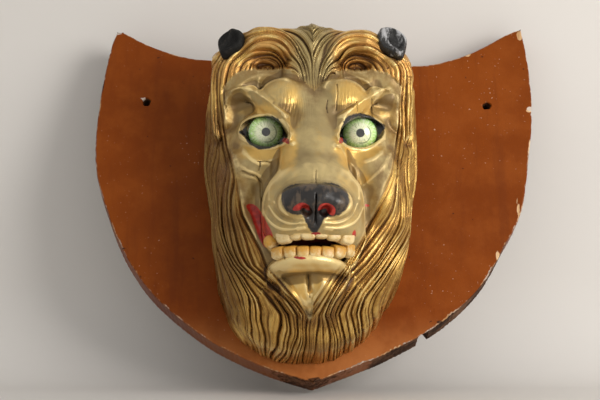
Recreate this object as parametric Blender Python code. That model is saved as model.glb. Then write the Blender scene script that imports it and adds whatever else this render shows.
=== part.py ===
"""Carved lion head wall plaque.

The plaque's back lies in the plane y = 0 and faces +Y.
The origin is on the back, midway between the two screw holes.
X runs to the right as the plaque is looked at, Z up, and the lion looks along -Y.
Lengths are in metres.
The head is a free form, so its shape functions work in carving units:
HEAD_WIDTH is 208 of them, and every number inside those functions is a share of it.
"""
import math

import bmesh
import bpy
import numpy as np
from mathutils import Vector

# Backboard
BOARD_THICKNESS = 0.032
EDGE_EASE = 0.0012
HOLE_DIAMETER = 0.008
HOLE_SPACING = 0.3494
HOLE_SEGMENTS = 24

# Left and right edges of the shield from the raised corner down, as X and Z
LEFT_CORNER = (-0.2087, 0.0803)
LEFT_FLAT_END = (-0.2022, 0.0803)
RIGHT_CORNER = (0.2150, 0.0903)
BOTTOM_POINT = (-0.0057, -0.2947)
TOP_EDGE = (
    (-0.1727, 0.0643), (-0.1407, 0.0533), (-0.1100, 0.0490), (-0.0030, 0.0445),
    (0.1033, 0.0455), (0.1444, 0.0543), (0.1714, 0.0663), (0.1994, 0.0833),
)
RIGHT_EDGE = (
    (0.2204, 0.0463), (0.2214, -0.0067), (0.2153, -0.0577), (0.2043, -0.1167),
    (0.1843, -0.1557), (0.1634, -0.1917), (0.1294, -0.2267), (0.0960, -0.2490),
    (0.0593, -0.2685), (0.0093, -0.2887),
)
LEFT_EDGE = (
    (-0.0536, -0.2787), (-0.1046, -0.2537), (-0.1576, -0.2107), (-0.1907, -0.1647),
    (-0.2127, -0.1117), (-0.2227, -0.0757), (-0.2247, -0.0377), (-0.2217, 0.0093),
    (-0.2147, 0.0583),
)
CURVE_STEPS = 4

# Splinter broken from the rear of the lower right edge
NOTCH_AT = (0.1030, -0.2460)
NOTCH_WIDTH = 0.0125
NOTCH_DEPTH = 0.0135

# Head
HEAD_WIDTH = 0.208
HEAD_CENTRE_X = -0.0087
HEAD_LOWER = 0.0027
FIT_GAP = 0.0003
COLUMNS = 180
ROWS = 220
FACE_BUDGET = 7600

# Glass eyes
EYE_RADIUS = 0.0185
EYE_BACK = 0.0040
EYE_SEAT_GAP = 0.0004
EYE_SEGMENTS = 28
EYE_RINGS = 14

UNIT = HEAD_WIDTH / 208
TILT = math.tan(math.radians(22))
EYE_CENTRE = (44.5, 99.0, -76.5)
EYE_SHARE = EYE_RADIUS / UNIT
TEMPLE = (42.0, -18.0)


def ramp(start, end, x):
    """Smooth step from 0 at start to 1 at end."""
    t = np.clip((x - start) / (end - start), 0, 1)
    return t * t * (3 - 2 * t)


def scatter(seed):
    """Repeatable scattered number from 0 to 1."""
    s = np.sin(seed * 12.9898 + 4.1) * 437.585
    return s - np.floor(s)


def join(a, b, k):
    """Union of two forms with a fillet about k wide."""
    h = np.clip(0.5 + 0.5 * (b - a) / k, 0, 1)
    return b * (1 - h) + a * h - k * h * (1 - h)


def cut(a, b, k):
    """Form a hollowed by form b, the lip eased by k."""
    return -join(-a, b, k)


def ball(p, c, r):
    """Distance to an ellipsoid with centre c and the three radii r."""
    q = [(p[i] - c[i]) / r[i] for i in range(3)]
    size = np.sqrt(q[0]**2 + q[1]**2 + q[2]**2) + 1e-9
    slope = np.sqrt((q[0] / r[0])**2 + (q[1] / r[1])**2 + (q[2] / r[2])**2) + 1e-9
    return size * (size - 1) / slope


def rod(p, a, b, ra, rb):
    """Distance to a round-ended rod from a to b whose radius goes from ra to rb."""
    ab = [b[i] - a[i] for i in range(3)]
    t = sum((p[i] - a[i]) * ab[i] for i in range(3)) / sum(v * v for v in ab)
    t = np.clip(t, 0, 1)
    d = sum((p[i] - a[i] - t * ab[i])**2 for i in range(3))
    return np.sqrt(d) - (ra + t * (rb - ra))


def drum(p, c, r, n):
    """Distance to a drum, oval in X and H, closed above and below by the power n."""
    qx, qh, qz = [(p[i] - c[i]) / r[i] for i in range(3)]
    e = np.sqrt(qx**2 + qh**2) + 1e-9
    whole = (e**n + np.abs(qz)**n)**(1 / n) + 1e-9
    ge = (e / whole)**(n - 1)
    gz = (np.abs(qz) / whole)**(n - 1) / r[2]
    slope = np.sqrt((ge * qx / e / r[0])**2 + (ge * qh / e / r[1])**2 + gz**2 + 1e-12)
    return (whole - 1) / slope


def mane_outline(x, z):
    """Distance outside the edge of the mane, in the board's plane."""
    upper = z > -130
    height = np.where(upper, 168.0, 144.0)
    n = np.where(upper, 5.0, 2.3)
    half = 102.5 - 8 * ramp(-90, -150, z)
    qx = np.abs(x - 0.5 + 8 * ramp(-175, -255, z)) / half
    qz = np.abs(z + 130) / height
    whole = (qx**n + qz**n)**(1 / n) + 1e-9
    gx = (qx / whole)**(n - 1) / half
    gz = (qz / whole)**(n - 1) / height
    return (whole - 1) / np.sqrt(gx**2 + gz**2 + 1e-12)


def mane(p):
    """Rounded slab of the mane, highest over the brow and thinnest at its foot."""
    x, h, z = p
    top = 94 + 19 * ramp(-70, -5, z) - 34 * ramp(-175, -262, z)
    top = top + 9 * np.exp(-(x / 20)**2) * ramp(-60, -20, z)
    top = top + 14 * np.exp(-(x / 60)**2) * ramp(-170, -220, z)
    r = 42.0 - 14 * ramp(-80, 0, z) - 6 * ramp(-190, -260, z)
    a = mane_outline(x, z) + r
    b = h - top + r
    out = np.sqrt(np.maximum(a, 0)**2 + np.maximum(b, 0)**2)
    return out + np.minimum(np.maximum(a, b), 0) - r


def arch_size(ax, z):
    """Size of the hair arch over the temple that passes through a place."""
    dx = ax - TEMPLE[0]
    dx = np.where(dx > 0, dx / 1.9, dx)
    return np.sqrt(dx**2 + (np.maximum(z - TEMPLE[1], 0) / 1.25)**2 + 1e-6)


def eye_opening(p):
    """Distance outside the almond between the lids, seen along the looking line."""
    x, h, z = p
    dx = np.abs(x) - 45.5
    dz = (z + TILT * h) * math.cos(math.atan(TILT)) + 33.0
    u = (dx * math.cos(0.2) + dz * math.sin(0.2)) / 22.5
    v = (dz * math.cos(0.2) - dx * math.sin(0.2)) / 13.6
    return ((np.abs(u)**1.75 + np.abs(v)**1.75)**(1 / 1.75) - 1) * 14.5


def brow(f, m):
    """Rolled hair, forehead lobes and the fold that runs down to the inner eye."""
    x, h, z = m
    roll = arch_size(x, z) - 25
    thick = np.where(x > TEMPLE[0], ramp(-105, -30, z), ramp(-46, -22, z))
    roll = np.sqrt(roll**2 + (h - 113 + 26 * ramp(50, 90, x))**2 + 1e-6) - 15.5 * thick + 4
    f = join(f, cut(roll, 97 - x, 6), 3)
    f = cut(f, ball(m, (43, 132, -8.5), (23, 26, 11.5)), 4)
    f = join(f, ball(m, (60, 84, -50), (22, 22, 18)), 6)
    f = join(f, ball(m, (28, 110, -54), (27, 28, 27)), 6)
    f = join(f, rod(m, (0, 98, -12), (0, 108, -70), 18, 26), 10)
    f = cut(f, rod(m, (0, 160, -85), (0, 143, -20), 15, 11), 9)
    f = cut(f, ball(m, (53, 141, -74), (28, 25, 18)), 5)
    f = join(f, rod(m, (80, 92, -62), (78, 97, -42), 6, 7), 4)
    f = join(f, rod(m, (78, 97, -42), (58, 112, -40), 7, 7), 4)
    f = join(f, rod(m, (58, 114, -43), (41, 124, -60), 6.5, 6.5), 3)
    f = join(f, rod(m, (41, 124, -60), (27, 130, -78), 6.5, 6), 3)
    return join(f, rod(m, (27, 130, -78), (20, 128, -104), 6, 4.5), 3)


def cheeks_and_muzzle(f, p, m):
    """Cheeks, orbits and lids, then the bridge, muzzle and nose."""
    f = join(f, ball(m, (56, 88, -116), (27, 34, 26)), 8)
    f = join(f, ball(m, (62, 80, -135), (22, 30, 30)), 10)
    f = cut(f, ball(m, (54, 141, -86), (24, 26, 17)), 8)
    lid = (EYE_SHARE + 4.5, EYE_SHARE + 3.0, EYE_SHARE + 1.5)
    f = join(f, ball(m, EYE_CENTRE, lid), 4)
    f = join(f, rod(m, (0, 108, -70), (0, 138, -150), 27, 34), 8)
    f = join(f, drum(p, (0, 125, -172), (47, 53, 34), 4), 7)
    f = join(f, drum(m, (0, 168, -174.5), (33, 24, 15), 2.4), 3)
    return join(f, ball(m, (16, 173, -180), (14.5, 15, 9.5)), 4)


def chin(f, p, m):
    """Throat under the jaw, and the jaw, which sits a little to the left."""
    f = join(f, rod(m, (0, 98, -219), (0, 58, -236), 32, 27), 12)
    jaw = (p[0] + 4, p[1], p[2])
    f = join(f, drum(jaw, (0, 109, -220.5), (38, 46, 8.0), 2.8), 3)
    return join(f, rod(p, (33, 121, -213), (40, 121, -190), 6, 8), 4)


def mouth(p):
    """Gap between the jaws and the open corner on the left."""
    jaw = (p[0] + 3, p[1], p[2])
    gap = drum(jaw, (0, 112, -206.5), (33, 49, 6.5), 4)
    return join(gap, rod(p, (-62, 112, -157), (-46, 130, -194), 4.5, 6.5), 3)


def bumps(turn, count):
    """Row of rounded bumps round the jaw, turn being a part of a full turn."""
    q = turn * count
    q = q - np.floor(q)
    return np.sqrt(np.maximum(1 - (2 * q - 1)**2, 0) + 1e-6)


def teeth(p):
    """Upper and lower rows of teeth, and the round peg tooth at the left."""
    x, h, z = p
    turn = np.arctan2(x, h - 118) / (2 * math.pi) + 0.0125
    b = 1.8 * bumps(turn, 24)
    upper = drum(p, (0, 118, -199), (37.5 + b, 46 + b, 6.4 + 1.7 * b), 6)
    jaw = (x + 5, h, z)
    turn = np.arctan2(x + 5, h - 110) / (2 * math.pi) + 0.0056
    b = 1.8 * bumps(turn, 26)
    lower = drum(jaw, (0, 108, -212), (33 + b, 44 + b, 7.0), 5)
    peg = ball(p, (-38.4, 136, -199.5), (6.6, 6.6, 6.6))
    return np.minimum(np.minimum(upper, lower), peg)


def ears(f, p):
    """Two small cupped ears on the upper corners, the right one bigger."""
    x, h, z = p
    for side, size in ((-1, 1.0), (1, 1.14)):
        q = (x * side, h, z)
        f = join(f, ball(q, (76, 107, 12), (13 * size, 20, 17 * size)), 2)
        f = cut(f, ball(q, (77, 129, 8), (8 * size, 11, 11 * size)), 1)
    return f


def smooth_head(p):
    """The head before the locks of hair are carved."""
    x, h, z = p
    m = (np.abs(x), h, z)
    f = mane(p)
    f = join(f, ball(m, (0, 58, -95), (92, 68, 95)), 8)
    f = brow(f, m)
    f = cheeks_and_muzzle(f, p, m)
    f = chin(f, p, m)
    opening = eye_opening(p)
    rim = np.exp(-((opening - 2.0) / 1.8)**2)
    f = f - 1.3 * rim * ramp(96, 104, h) * ramp(-130, -115, z) * ramp(-35, -50, z)
    f = cut(f, np.maximum(opening, 102 - h), 1.0)
    f = cut(f, mouth(p), 2)
    f = join(f, teeth(p), 0.8)
    f = cut(f, rod(m, (12.5, 196, -192), (7.5, 178, -186), 5.2, 4.5), 1.5)
    crease = m[0] - 0.2 - 0.9 * ramp(-186, -202, z)
    crease = np.maximum(crease, np.abs(z + 190) - 15)
    crease = np.maximum(crease, 173 - h)
    f = cut(f, crease, 2)
    return join(f, ball(p, (1, 108, 23), (9, 14, 10)), 4)


def face_edge(x, t):
    """Half width of the bare face at the height t of the looking line."""
    left = np.interp(t, (-217, -202, -175, -153, -120, -51, 10), (2, 12, 32, 46, 62, 78, 84))
    right = np.interp(t, (-217, -174, -163, -121, -77, -53, 10), (-2, 22, 28, 54, 72, 78, 84))
    return np.where(x < 0, left, right)


def face_top(x):
    """Height of the hairline along the looking line, with a dip for the parting."""
    return np.interp(np.abs(x - 1), (0, 8, 16, 22, 30, 58, 72, 84, 92), (6, 14, 22, 27, 30, 30, 26, 14, -10))


def lock_flow(x, h, z):
    """Which lock passes a place, how wide a unit of locks is there, and how far along it lies."""
    ax = np.abs(x)
    t = z + TILT * h
    inner = face_edge(x, t)
    outer = np.interp(t, (-285, -255, -225, -190, -130), (52, 58, 74, 88, 100))
    room = np.maximum(outer - inner, 12)
    wall = np.maximum(0, 60 - h) * ramp(-225, -150, z)
    side_width = room / 10.5
    side = 21 + (ax - inner) / side_width + wall / np.clip(side_width, 1.6, 3.2)
    gather = 1 + 1.5 * ramp(50, 8, t) * ramp(28, 12, ax)
    crown = arch_size(np.minimum(ax * gather, TEMPLE[0] + 80), z) + wall / 1.9
    crown_width = 1.15 + 0.65 * ramp(42, 80, ax)
    share = np.where(ax < TEMPLE[0], 1.0, ramp(-45, 0, z)) * ramp(-110, -70, z)
    s = side * (1 - share) + crown * share
    return s, side_width * (1 - share) + crown_width * share, t - 0.8 * ax * share


def locks(p):
    """Rounded locks that divide where they widen, zero on the bare face."""
    x, h, z = p
    s, width, along = lock_flow(x, h, z)
    t = z + TILT * h
    s = np.sign(x) * (s - 21)
    bend = 2.6 * np.sin(t / 12 + s * 0.45) + 1.1 * np.sin(t / 6.3 + s * 1.1)
    sway = 2.2 * np.sin(along / 27 + s * 0.17) + 1.1 * np.sin(along / 11 + s * 0.43)
    s = s + (sway + bend * ramp(-160, -235, t)) / np.maximum(width, 1.0)
    pitch = 10.5
    step = np.floor(s / pitch)
    u = s / pitch - step
    seed = step * 3.7
    relief = np.zeros(np.shape(x))
    wall_share = 0.4 + 0.6 * ramp(25, 65, h) * (1 - 0.5 * ramp(-10, 12, z))
    for _ in range(4):
        span = pitch * width
        deep = np.clip(0.34 * span, 0, 5.0) * ramp(4.5, 8.5, span) * (1 - 0.7 * ramp(22, 40, span))
        tall = 0.6 + 0.4 * scatter(seed)
        relief = relief + wall_share * deep * (tall * (1 - (2 * u - 1)**2) - 0.55)
        split = 0.34 + 0.32 * (0.5 + 0.5 * np.sin(along / 24 + 6.3 * scatter(seed + 0.3)))
        right = u > split
        u = np.where(right, (u - split) / (1 - split), u / split)
        seed = seed * 1.7 + 2.3 + 5.1 * right
        pitch = pitch / 2
    inside = np.minimum(face_edge(x, t) - np.abs(x), face_top(x) - t)
    inside = np.minimum(inside, 0.6 * (t + 217))
    cover = ramp(1.5, -4.0, inside)
    throat = 4.5 * ramp(0, 7, inside) * ramp(-168, -182, t)
    return cover * relief - throat


def head_form(p):
    """The whole carved head: negative inside, positive outside."""
    return ears(smooth_head(p) - locks(p), p)


def ray_rings(a, first, second):
    """Ring number of a grid place: 0 to 1 plate, 1 to 2 rim, 2 to 3 wall."""
    rim = 1 + (a - first) / (second - first)
    wall = 2 + (a - second) / (1 - second)
    return np.where(a < first, a / first, np.where(a < second, rim, wall))


def head_rays(u, v):
    """Start and direction of a ray for each grid place, out of a plate inside the head."""
    mu = ray_rings(np.abs(u), 0.54, 0.84)
    mv = ray_rings(np.abs(v), 0.68, 0.87)
    ring = np.maximum(mu, mv)
    safe = np.maximum(ring, 1e-9)
    qx = np.sign(u) * mu / safe
    qz = np.sign(v) * mv / safe
    scale = 1 / (qx**4 + qz**4 + 1e-12)**0.25
    ox = qx * scale
    oz = qz * scale
    plate = np.minimum(ring, 1)
    nx = np.sign(ox) * np.abs(ox)**3 / 62
    nz = np.sign(oz) * np.abs(oz)**3 / 120
    size = np.sqrt(nx**2 + nz**2) + 1e-12
    angle = np.clip(ring - 1, 0, 1) * math.pi / 2
    wall = np.clip(ring - 2, 0, 1)
    z = -126 + oz * plate * 120
    start = [ox * plate * 62, 42 * (1 - wall) + FIT_GAP / UNIT * wall, z]
    lean = TILT * ramp(-5, -60, z)
    dx = np.sin(angle) * nx / size
    dh = np.cos(angle)
    dz = np.sin(angle) * nz / size - lean * dh
    size = np.sqrt(dx**2 + dh**2 + dz**2)
    return start, [dx / size, dh / size, dz / size]


def reach_surface(u, v):
    """Walks every ray in from outside to the first wood it meets."""
    start, way = head_rays(u, v)
    t = np.full(u.shape, 220.0)
    for _ in range(90):
        p = [start[i] + t * way[i] for i in range(3)]
        t = np.maximum(t - 0.6 * head_form(p), 0)
    return [start[i] + t * way[i] for i in range(3)]


def material(name, colour, roughness, metallic=0.0):
    """Plain Principled material."""
    mat = bpy.data.materials.new(name)
    mat.use_nodes = True
    shader = mat.node_tree.nodes["Principled BSDF"]
    shader.inputs["Base Color"].default_value = (*colour, 1.0)
    shader.inputs["Roughness"].default_value = roughness
    shader.inputs["Metallic"].default_value = metallic
    mat.diffuse_color = (*colour, 1.0)
    return mat


def finish(bm, name, mat=None, smooth=False):
    """Turns a working mesh into a named object with its faces turned outward."""
    bm.normal_update()
    bmesh.ops.recalc_face_normals(bm, faces=bm.faces)
    mesh = bpy.data.meshes.new(name)
    bm.to_mesh(mesh)
    bm.free()
    obj = bpy.data.objects.new(name, mesh)
    bpy.context.scene.collection.objects.link(obj)
    if mat:
        mesh.materials.append(mat)
    if smooth:
        mesh.polygons.foreach_set("use_smooth", [True] * len(mesh.polygons))
    return obj


def subtract(obj, cutter):
    """Exact Boolean difference; the cutter stays as a hidden wire."""
    mod = obj.modifiers.new("cut_" + cutter.name, "BOOLEAN")
    mod.operation = "DIFFERENCE"
    mod.solver = "EXACT"
    mod.object = cutter
    cutter.hide_render = True
    cutter.display_type = "WIRE"


def curve_through(before, points, after):
    """Points of a smooth curve that passes through all the given places."""
    way = [Vector(q) for q in (before, *points, after)]
    way = [2 * way[0] - way[1]] + way + [2 * way[-1] - way[-2]]
    out = []
    for i in range(1, len(way) - 2):
        a, b, c, d = way[i - 1:i + 3]
        for k in range(CURVE_STEPS):
            t = k / CURVE_STEPS
            out.append(0.5 * (2 * b + (c - a) * t + (2 * a - 5 * b + 4 * c - d) * t * t
                              + (3 * b - a - 3 * c + d) * t**3))
    return out


def shield_outline():
    """Closed outline of the backboard, clockwise from the left end of the top edge."""
    ring = curve_through(LEFT_FLAT_END, TOP_EDGE, RIGHT_CORNER)
    ring += curve_through(RIGHT_CORNER, RIGHT_EDGE, BOTTOM_POINT)
    ring += curve_through(BOTTOM_POINT, LEFT_EDGE, LEFT_CORNER)
    ring.append(Vector(LEFT_CORNER))
    return ring


def build_board(mat):
    """Shield plank with an eased front edge, two screw holes and a broken edge."""
    ring = shield_outline()
    count = len(ring)
    inner = []
    for i, q in enumerate(ring):
        side = (ring[(i + 1) % count] - ring[i - 1]).normalized()
        inner.append(q + Vector((side.y, -side.x)) * EDGE_EASE)
    bm = bmesh.new()
    rows = []
    for line, y in ((ring, 0), (ring, EDGE_EASE - BOARD_THICKNESS), (inner, -BOARD_THICKNESS)):
        rows.append([bm.verts.new((q.x, y, q.y)) for q in line])
    for low, high in zip(rows, rows[1:]):
        for i in range(count):
            j = (i + 1) % count
            bm.faces.new((low[i], low[j], high[j], high[i]))
    bm.faces.new(rows[0])
    bm.faces.new(rows[-1])
    board = finish(bm, "backboard", mat)
    for side in (-1, 1):
        bm = bmesh.new()
        bmesh.ops.create_cone(bm, cap_ends=True, segments=HOLE_SEGMENTS,
                              radius1=HOLE_DIAMETER / 2, radius2=HOLE_DIAMETER / 2,
                              depth=BOARD_THICKNESS * 2)
        for w in bm.verts:
            w.co = Vector((w.co.x + side * HOLE_SPACING / 2, -w.co.z - BOARD_THICKNESS / 2, w.co.y))
        subtract(board, finish(bm, f"hole_cutter_{side + 2}"))
    subtract(board, notch_cutter())
    return board


def notch_cutter():
    """Wedge that starts at the front edge and bites deeper toward the back."""
    along = Vector((0.862, 0, 0.507))
    inward = Vector((-0.507, 0, 0.862))
    corner = Vector((NOTCH_AT[0], 0, NOTCH_AT[1]))
    profile = (
        (-0.030, -BOARD_THICKNESS - 0.002), (0.0, -BOARD_THICKNESS + EDGE_EASE),
        (NOTCH_DEPTH, 0.002), (-0.030, 0.002),
    )
    bm = bmesh.new()
    ends = []
    for side in (-0.5, 0.5):
        base = corner + along * side * NOTCH_WIDTH
        ends.append([bm.verts.new(base + inward * a + Vector((0, b, 0))) for a, b in profile])
    bm.faces.new(ends[0])
    bm.faces.new(ends[1])
    for i in range(4):
        j = (i + 1) % 4
        bm.faces.new((ends[0][i], ends[0][j], ends[1][j], ends[1][i]))
    return finish(bm, "notch_cutter")


def eye_body(name, side, grow, mat=None):
    """Glass eye: the front of a ball, closed by a flat back inside the head."""
    x = side * EYE_CENTRE[0] * UNIT + HEAD_CENTRE_X
    y = -BOARD_THICKNESS - EYE_CENTRE[1] * UNIT
    z = EYE_CENTRE[2] * UNIT - HEAD_LOWER
    bm = bmesh.new()
    bmesh.ops.create_uvsphere(bm, u_segments=EYE_SEGMENTS, v_segments=EYE_RINGS,
                              radius=EYE_RADIUS + grow)
    for w in bm.verts:
        w.co = Vector((w.co.x, -w.co.z, w.co.y))
    everything = bm.verts[:] + bm.edges[:] + bm.faces[:]
    bmesh.ops.bisect_plane(bm, geom=everything, plane_co=(0, EYE_BACK + grow, 0),
                           plane_no=(0, 1, 0), clear_outer=True)
    rim = [e for e in bm.edges if e.is_boundary]
    bmesh.ops.edgenet_fill(bm, edges=rim)
    bmesh.ops.translate(bm, verts=bm.verts, vec=(x, y, z))
    obj = finish(bm, name, mat, smooth=True)
    for face in obj.data.polygons:
        if len(face.vertices) > 4:
            face.use_smooth = False
    return obj


def build_head(mat):
    """The carved block: a grid laid over the form and closed flat at the board."""
    bm = bmesh.new()
    bmesh.ops.create_grid(bm, x_segments=COLUMNS, y_segments=ROWS, size=1.0)
    bm.verts.ensure_lookup_table()
    u = np.array([w.co.x for w in bm.verts])
    v = np.array([w.co.y for w in bm.verts])
    x, h, z = reach_surface(u, v)
    for i, w in enumerate(bm.verts):
        w.co = Vector((x[i] * UNIT + HEAD_CENTRE_X, -BOARD_THICKNESS - h[i] * UNIT,
                       z[i] * UNIT - HEAD_LOWER))
    rim = [e for e in bm.edges if e.is_boundary]
    bmesh.ops.edgenet_fill(bm, edges=rim)
    head = finish(bm, "lion_head", mat, smooth=True)
    thin = head.modifiers.new("fewer_faces", "DECIMATE")
    thin.decimate_type = "COLLAPSE"
    thin.ratio = FACE_BUDGET / (2 * COLUMNS * ROWS)
    thin.use_collapse_triangulate = True
    for side, word in ((-1, "left"), (1, "right")):
        seat = eye_body("eye_seat_" + word, side, EYE_SEAT_GAP)
        subtract(head, seat)
    return head


def main():
    for obj in list(bpy.data.objects):
        bpy.data.objects.remove(obj, do_unlink=True)
    board_paint = material("rust_brown_paint", (0.26, 0.075, 0.02), 0.5)
    gilding = material("bronze_gilding", (0.42, 0.28, 0.12), 0.4, 0.6)
    glass = material("green_glass", (0.35, 0.62, 0.33), 0.08)
    build_board(board_paint)
    build_head(gilding)
    eye_body("glass_eye_left", -1, 0.0, glass)
    eye_body("glass_eye_right", 1, 0.0, glass)


main()
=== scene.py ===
import math

import bmesh
import bpy
import numpy as np
from mathutils import Matrix, Vector


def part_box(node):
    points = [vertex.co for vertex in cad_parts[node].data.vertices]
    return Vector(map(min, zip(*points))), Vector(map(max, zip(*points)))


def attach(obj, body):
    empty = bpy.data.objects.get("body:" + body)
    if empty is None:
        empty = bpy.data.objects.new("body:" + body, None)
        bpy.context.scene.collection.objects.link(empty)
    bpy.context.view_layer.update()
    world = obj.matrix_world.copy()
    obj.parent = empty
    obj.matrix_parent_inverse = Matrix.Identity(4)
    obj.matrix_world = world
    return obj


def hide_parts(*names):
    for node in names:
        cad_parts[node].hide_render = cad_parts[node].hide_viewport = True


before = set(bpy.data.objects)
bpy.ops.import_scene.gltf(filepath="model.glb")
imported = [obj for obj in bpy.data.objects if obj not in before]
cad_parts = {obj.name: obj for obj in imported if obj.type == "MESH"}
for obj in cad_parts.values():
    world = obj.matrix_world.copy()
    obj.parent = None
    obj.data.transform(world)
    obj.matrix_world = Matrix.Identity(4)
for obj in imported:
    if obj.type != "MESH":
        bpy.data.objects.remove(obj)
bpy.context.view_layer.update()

head_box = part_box("lion_head")

MM = 0.001
BOARD_THICKNESS = 0.032
HEAD_MIDDLE = -0.0087
HEAD_DROP = 0.0027
GAP = 0.3
LOOK_RISE = math.radians(22)
LOOK_TURN = math.radians(1.5)
LOOK = math.tan(LOOK_RISE)
EYE_CENTRE = (44.5, 99.0, -76.5)
EYE_RADIUS = 18.5
TEMPLE = (42.0, -18.0)

COARSER = 1
SIDE_COLUMNS = 190 // COARSER
FACE_COLUMNS = 290 // COARSER
BEARD_ROWS = 171 // COARSER
FACE_ROWS = 236 // COARSER
CROWN_ROWS = 264 // COARSER
HAIRLINE_RING = 1.24
CROWN_RING = 0.62
BEARD_RING = -0.633

# The flat oblong behind the head from which the net's rays start, in millimetres
PLATE_MIDDLE = -113
PLATE_HALF_WIDTH = 62
PLATE_ABOVE = 143
PLATE_BELOW = 133
PLATE_DEPTH = 42

# How the first wood is looked for: on every fourth ray first, then on all of them
COARSE_STEP = 4
FAR_OUT = 220.0
MOST_STEPS = 110
STEP_SHARE = 0.65
NEAR_ENOUGH = 0.015

# Hair: number of the first strand at the hairline, strands in a lock, and how often a lock divides
FIRST_STRAND = 21
LOCK_PITCH = 10.5
LOCK_SPLITS = 6


def soft(start, end, x):
    """Smooth step from 0 at start to 1 at end."""
    t = np.clip((x - start) / (end - start), 0, 1)
    return t * t * (3 - 2 * t)


def scatter(seed):
    """Repeatable scattered number from 0 to 1."""
    s = np.sin(seed * 12.9898 + 4.1) * 437.585
    return s - np.floor(s)


def spot(x, t, middle_x, middle_t, wide, tall):
    """1 in the middle of a soft oval, fading to 0 round it."""
    return np.exp(-((x - middle_x) / wide)**2 - ((t - middle_t) / tall)**2)


# Wooden forms of the head, as distances outside them


def join(a, b, k):
    """Union of two forms with a fillet about k wide."""
    h = np.clip(0.5 + 0.5 * (b - a) / k, 0, 1)
    return b * (1 - h) + a * h - k * h * (1 - h)


def cut(a, b, k):
    """Form a hollowed by form b, the lip eased by k."""
    return -join(-a, b, k)


def ball(p, c, r):
    """Ellipsoid with centre c and the three radii r."""
    q = [(p[i] - c[i]) / r[i] for i in range(3)]
    size = np.sqrt(q[0]**2 + q[1]**2 + q[2]**2) + 1e-6
    slope = np.sqrt((q[0] / r[0])**2 + (q[1] / r[1])**2 + (q[2] / r[2])**2) + 1e-6
    return size * (size - 1) / slope


def rod(p, a, b, ra, rb):
    """Round-ended rod from a to b whose radius goes from ra to rb."""
    ab = [b[i] - a[i] for i in range(3)]
    t = sum((p[i] - a[i]) * ab[i] for i in range(3)) / sum(v * v for v in ab)
    t = np.clip(t, 0, 1)
    d = sum((p[i] - a[i] - t * ab[i])**2 for i in range(3))
    return np.sqrt(d) - (ra + t * (rb - ra))


def drum(p, c, r, n):
    """Drum, oval in X and H, closed above and below by the power n."""
    qx, qh, qz = [(p[i] - c[i]) / r[i] for i in range(3)]
    e = np.sqrt(qx**2 + qh**2) + 1e-6
    whole = (e**n + np.abs(qz)**n)**(1 / n) + 1e-6
    ge = (e / whole)**(n - 1)
    gz = (np.abs(qz) / whole)**(n - 1) / r[2]
    slope = np.sqrt((ge * qx / e / r[0])**2 + (ge * qh / e / r[1])**2 + gz**2 + 1e-10)
    return (whole - 1) / slope


def mane_outline(x, z):
    """Outline of the mane on the board."""
    upper = z > -130
    height = np.where(upper, 168.0, 144.0)
    n = np.where(upper, 5.0, 2.3)
    half = 102.5 - 8 * soft(-90, -150, z)
    qx = np.abs(x - 0.5 + 8 * soft(-175, -255, z)) / half
    qz = np.abs(z + 130) / height
    whole = (qx**n + qz**n)**(1 / n) + 1e-9
    gx = (qx / whole)**(n - 1) / half
    gz = (qz / whole)**(n - 1) / height
    return (whole - 1) / np.sqrt(gx**2 + gz**2 + 1e-12)


def mane(p):
    """Rounded slab of the mane, highest over the brow and thinnest at its foot."""
    x, h, z = p
    top = 94 + 19 * soft(-70, -5, z) - 34 * soft(-175, -262, z)
    top = top + 9 * np.exp(-(x / 20)**2) * soft(-60, -20, z)
    top = top + 14 * np.exp(-(x / 60)**2) * soft(-170, -220, z)
    r = 42.0 - 14 * soft(-80, 0, z) - 6 * soft(-190, -260, z)
    a = mane_outline(x, z) + r
    b = h - top + r
    out = np.sqrt(np.maximum(a, 0)**2 + np.maximum(b, 0)**2)
    return out + np.minimum(np.maximum(a, b), 0) - r


def arch_size(ax, z):
    """Size of the hair arch over the temple that passes through a place."""
    dx = ax - TEMPLE[0]
    dx = np.where(dx > 0, dx / 1.9, dx)
    return np.sqrt(dx**2 + (np.maximum(z - TEMPLE[1], 0) / 1.25)**2 + 1e-6)


def eye_opening(x, t):
    """Almond between the lids, as seen along the looking line."""
    dx = np.abs(x) - 45.5
    dz = t * math.cos(math.atan(LOOK)) + 33.0
    u = (dx * math.cos(0.2) + dz * math.sin(0.2)) / 22.5
    v = (dz * math.cos(0.2) - dx * math.sin(0.2)) / 13.6
    return ((np.abs(u)**1.75 + np.abs(v)**1.75 + 1e-9)**(1 / 1.75) - 1) * 14.5


def brow(f, m):
    """Rolled hair, forehead lobes, eye hollows and the fold down to the inner eye."""
    x, h, z = m
    roll = arch_size(x, z) - 25
    thick = np.where(x > TEMPLE[0], soft(-105, -30, z), soft(-46, -22, z))
    roll = np.sqrt(roll**2 + (h - 113 + 26 * soft(50, 90, x))**2 + 1e-6) - 15.5 * thick + 4
    f = join(f, cut(roll, 97 - x, 6), 3)
    f = cut(f, ball(m, (43, 132, -8.5), (23, 26, 11.5)), 4)
    f = join(f, ball(m, (60, 84, -50), (22, 22, 18)), 6)
    f = join(f, ball(m, (28, 110, -54), (27, 28, 27)), 6)
    f = join(f, rod(m, (0, 98, -12), (0, 108, -70), 18, 26), 10)
    f = cut(f, rod(m, (0, 160, -85), (0, 143, -20), 15, 11), 9)
    f = cut(f, ball(m, (53, 141, -74), (28, 25, 18)), 5)
    f = join(f, rod(m, (80, 92, -62), (78, 97, -42), 6, 7), 4)
    f = join(f, rod(m, (78, 97, -42), (58, 112, -40), 7, 7), 4)
    f = join(f, rod(m, (58, 114, -43), (41, 124, -60), 6.5, 6.5), 3)
    f = join(f, rod(m, (41, 124, -60), (27, 130, -78), 6.5, 6), 3)
    return join(f, rod(m, (27, 130, -78), (20, 128, -104), 6, 4.5), 3)


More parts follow.
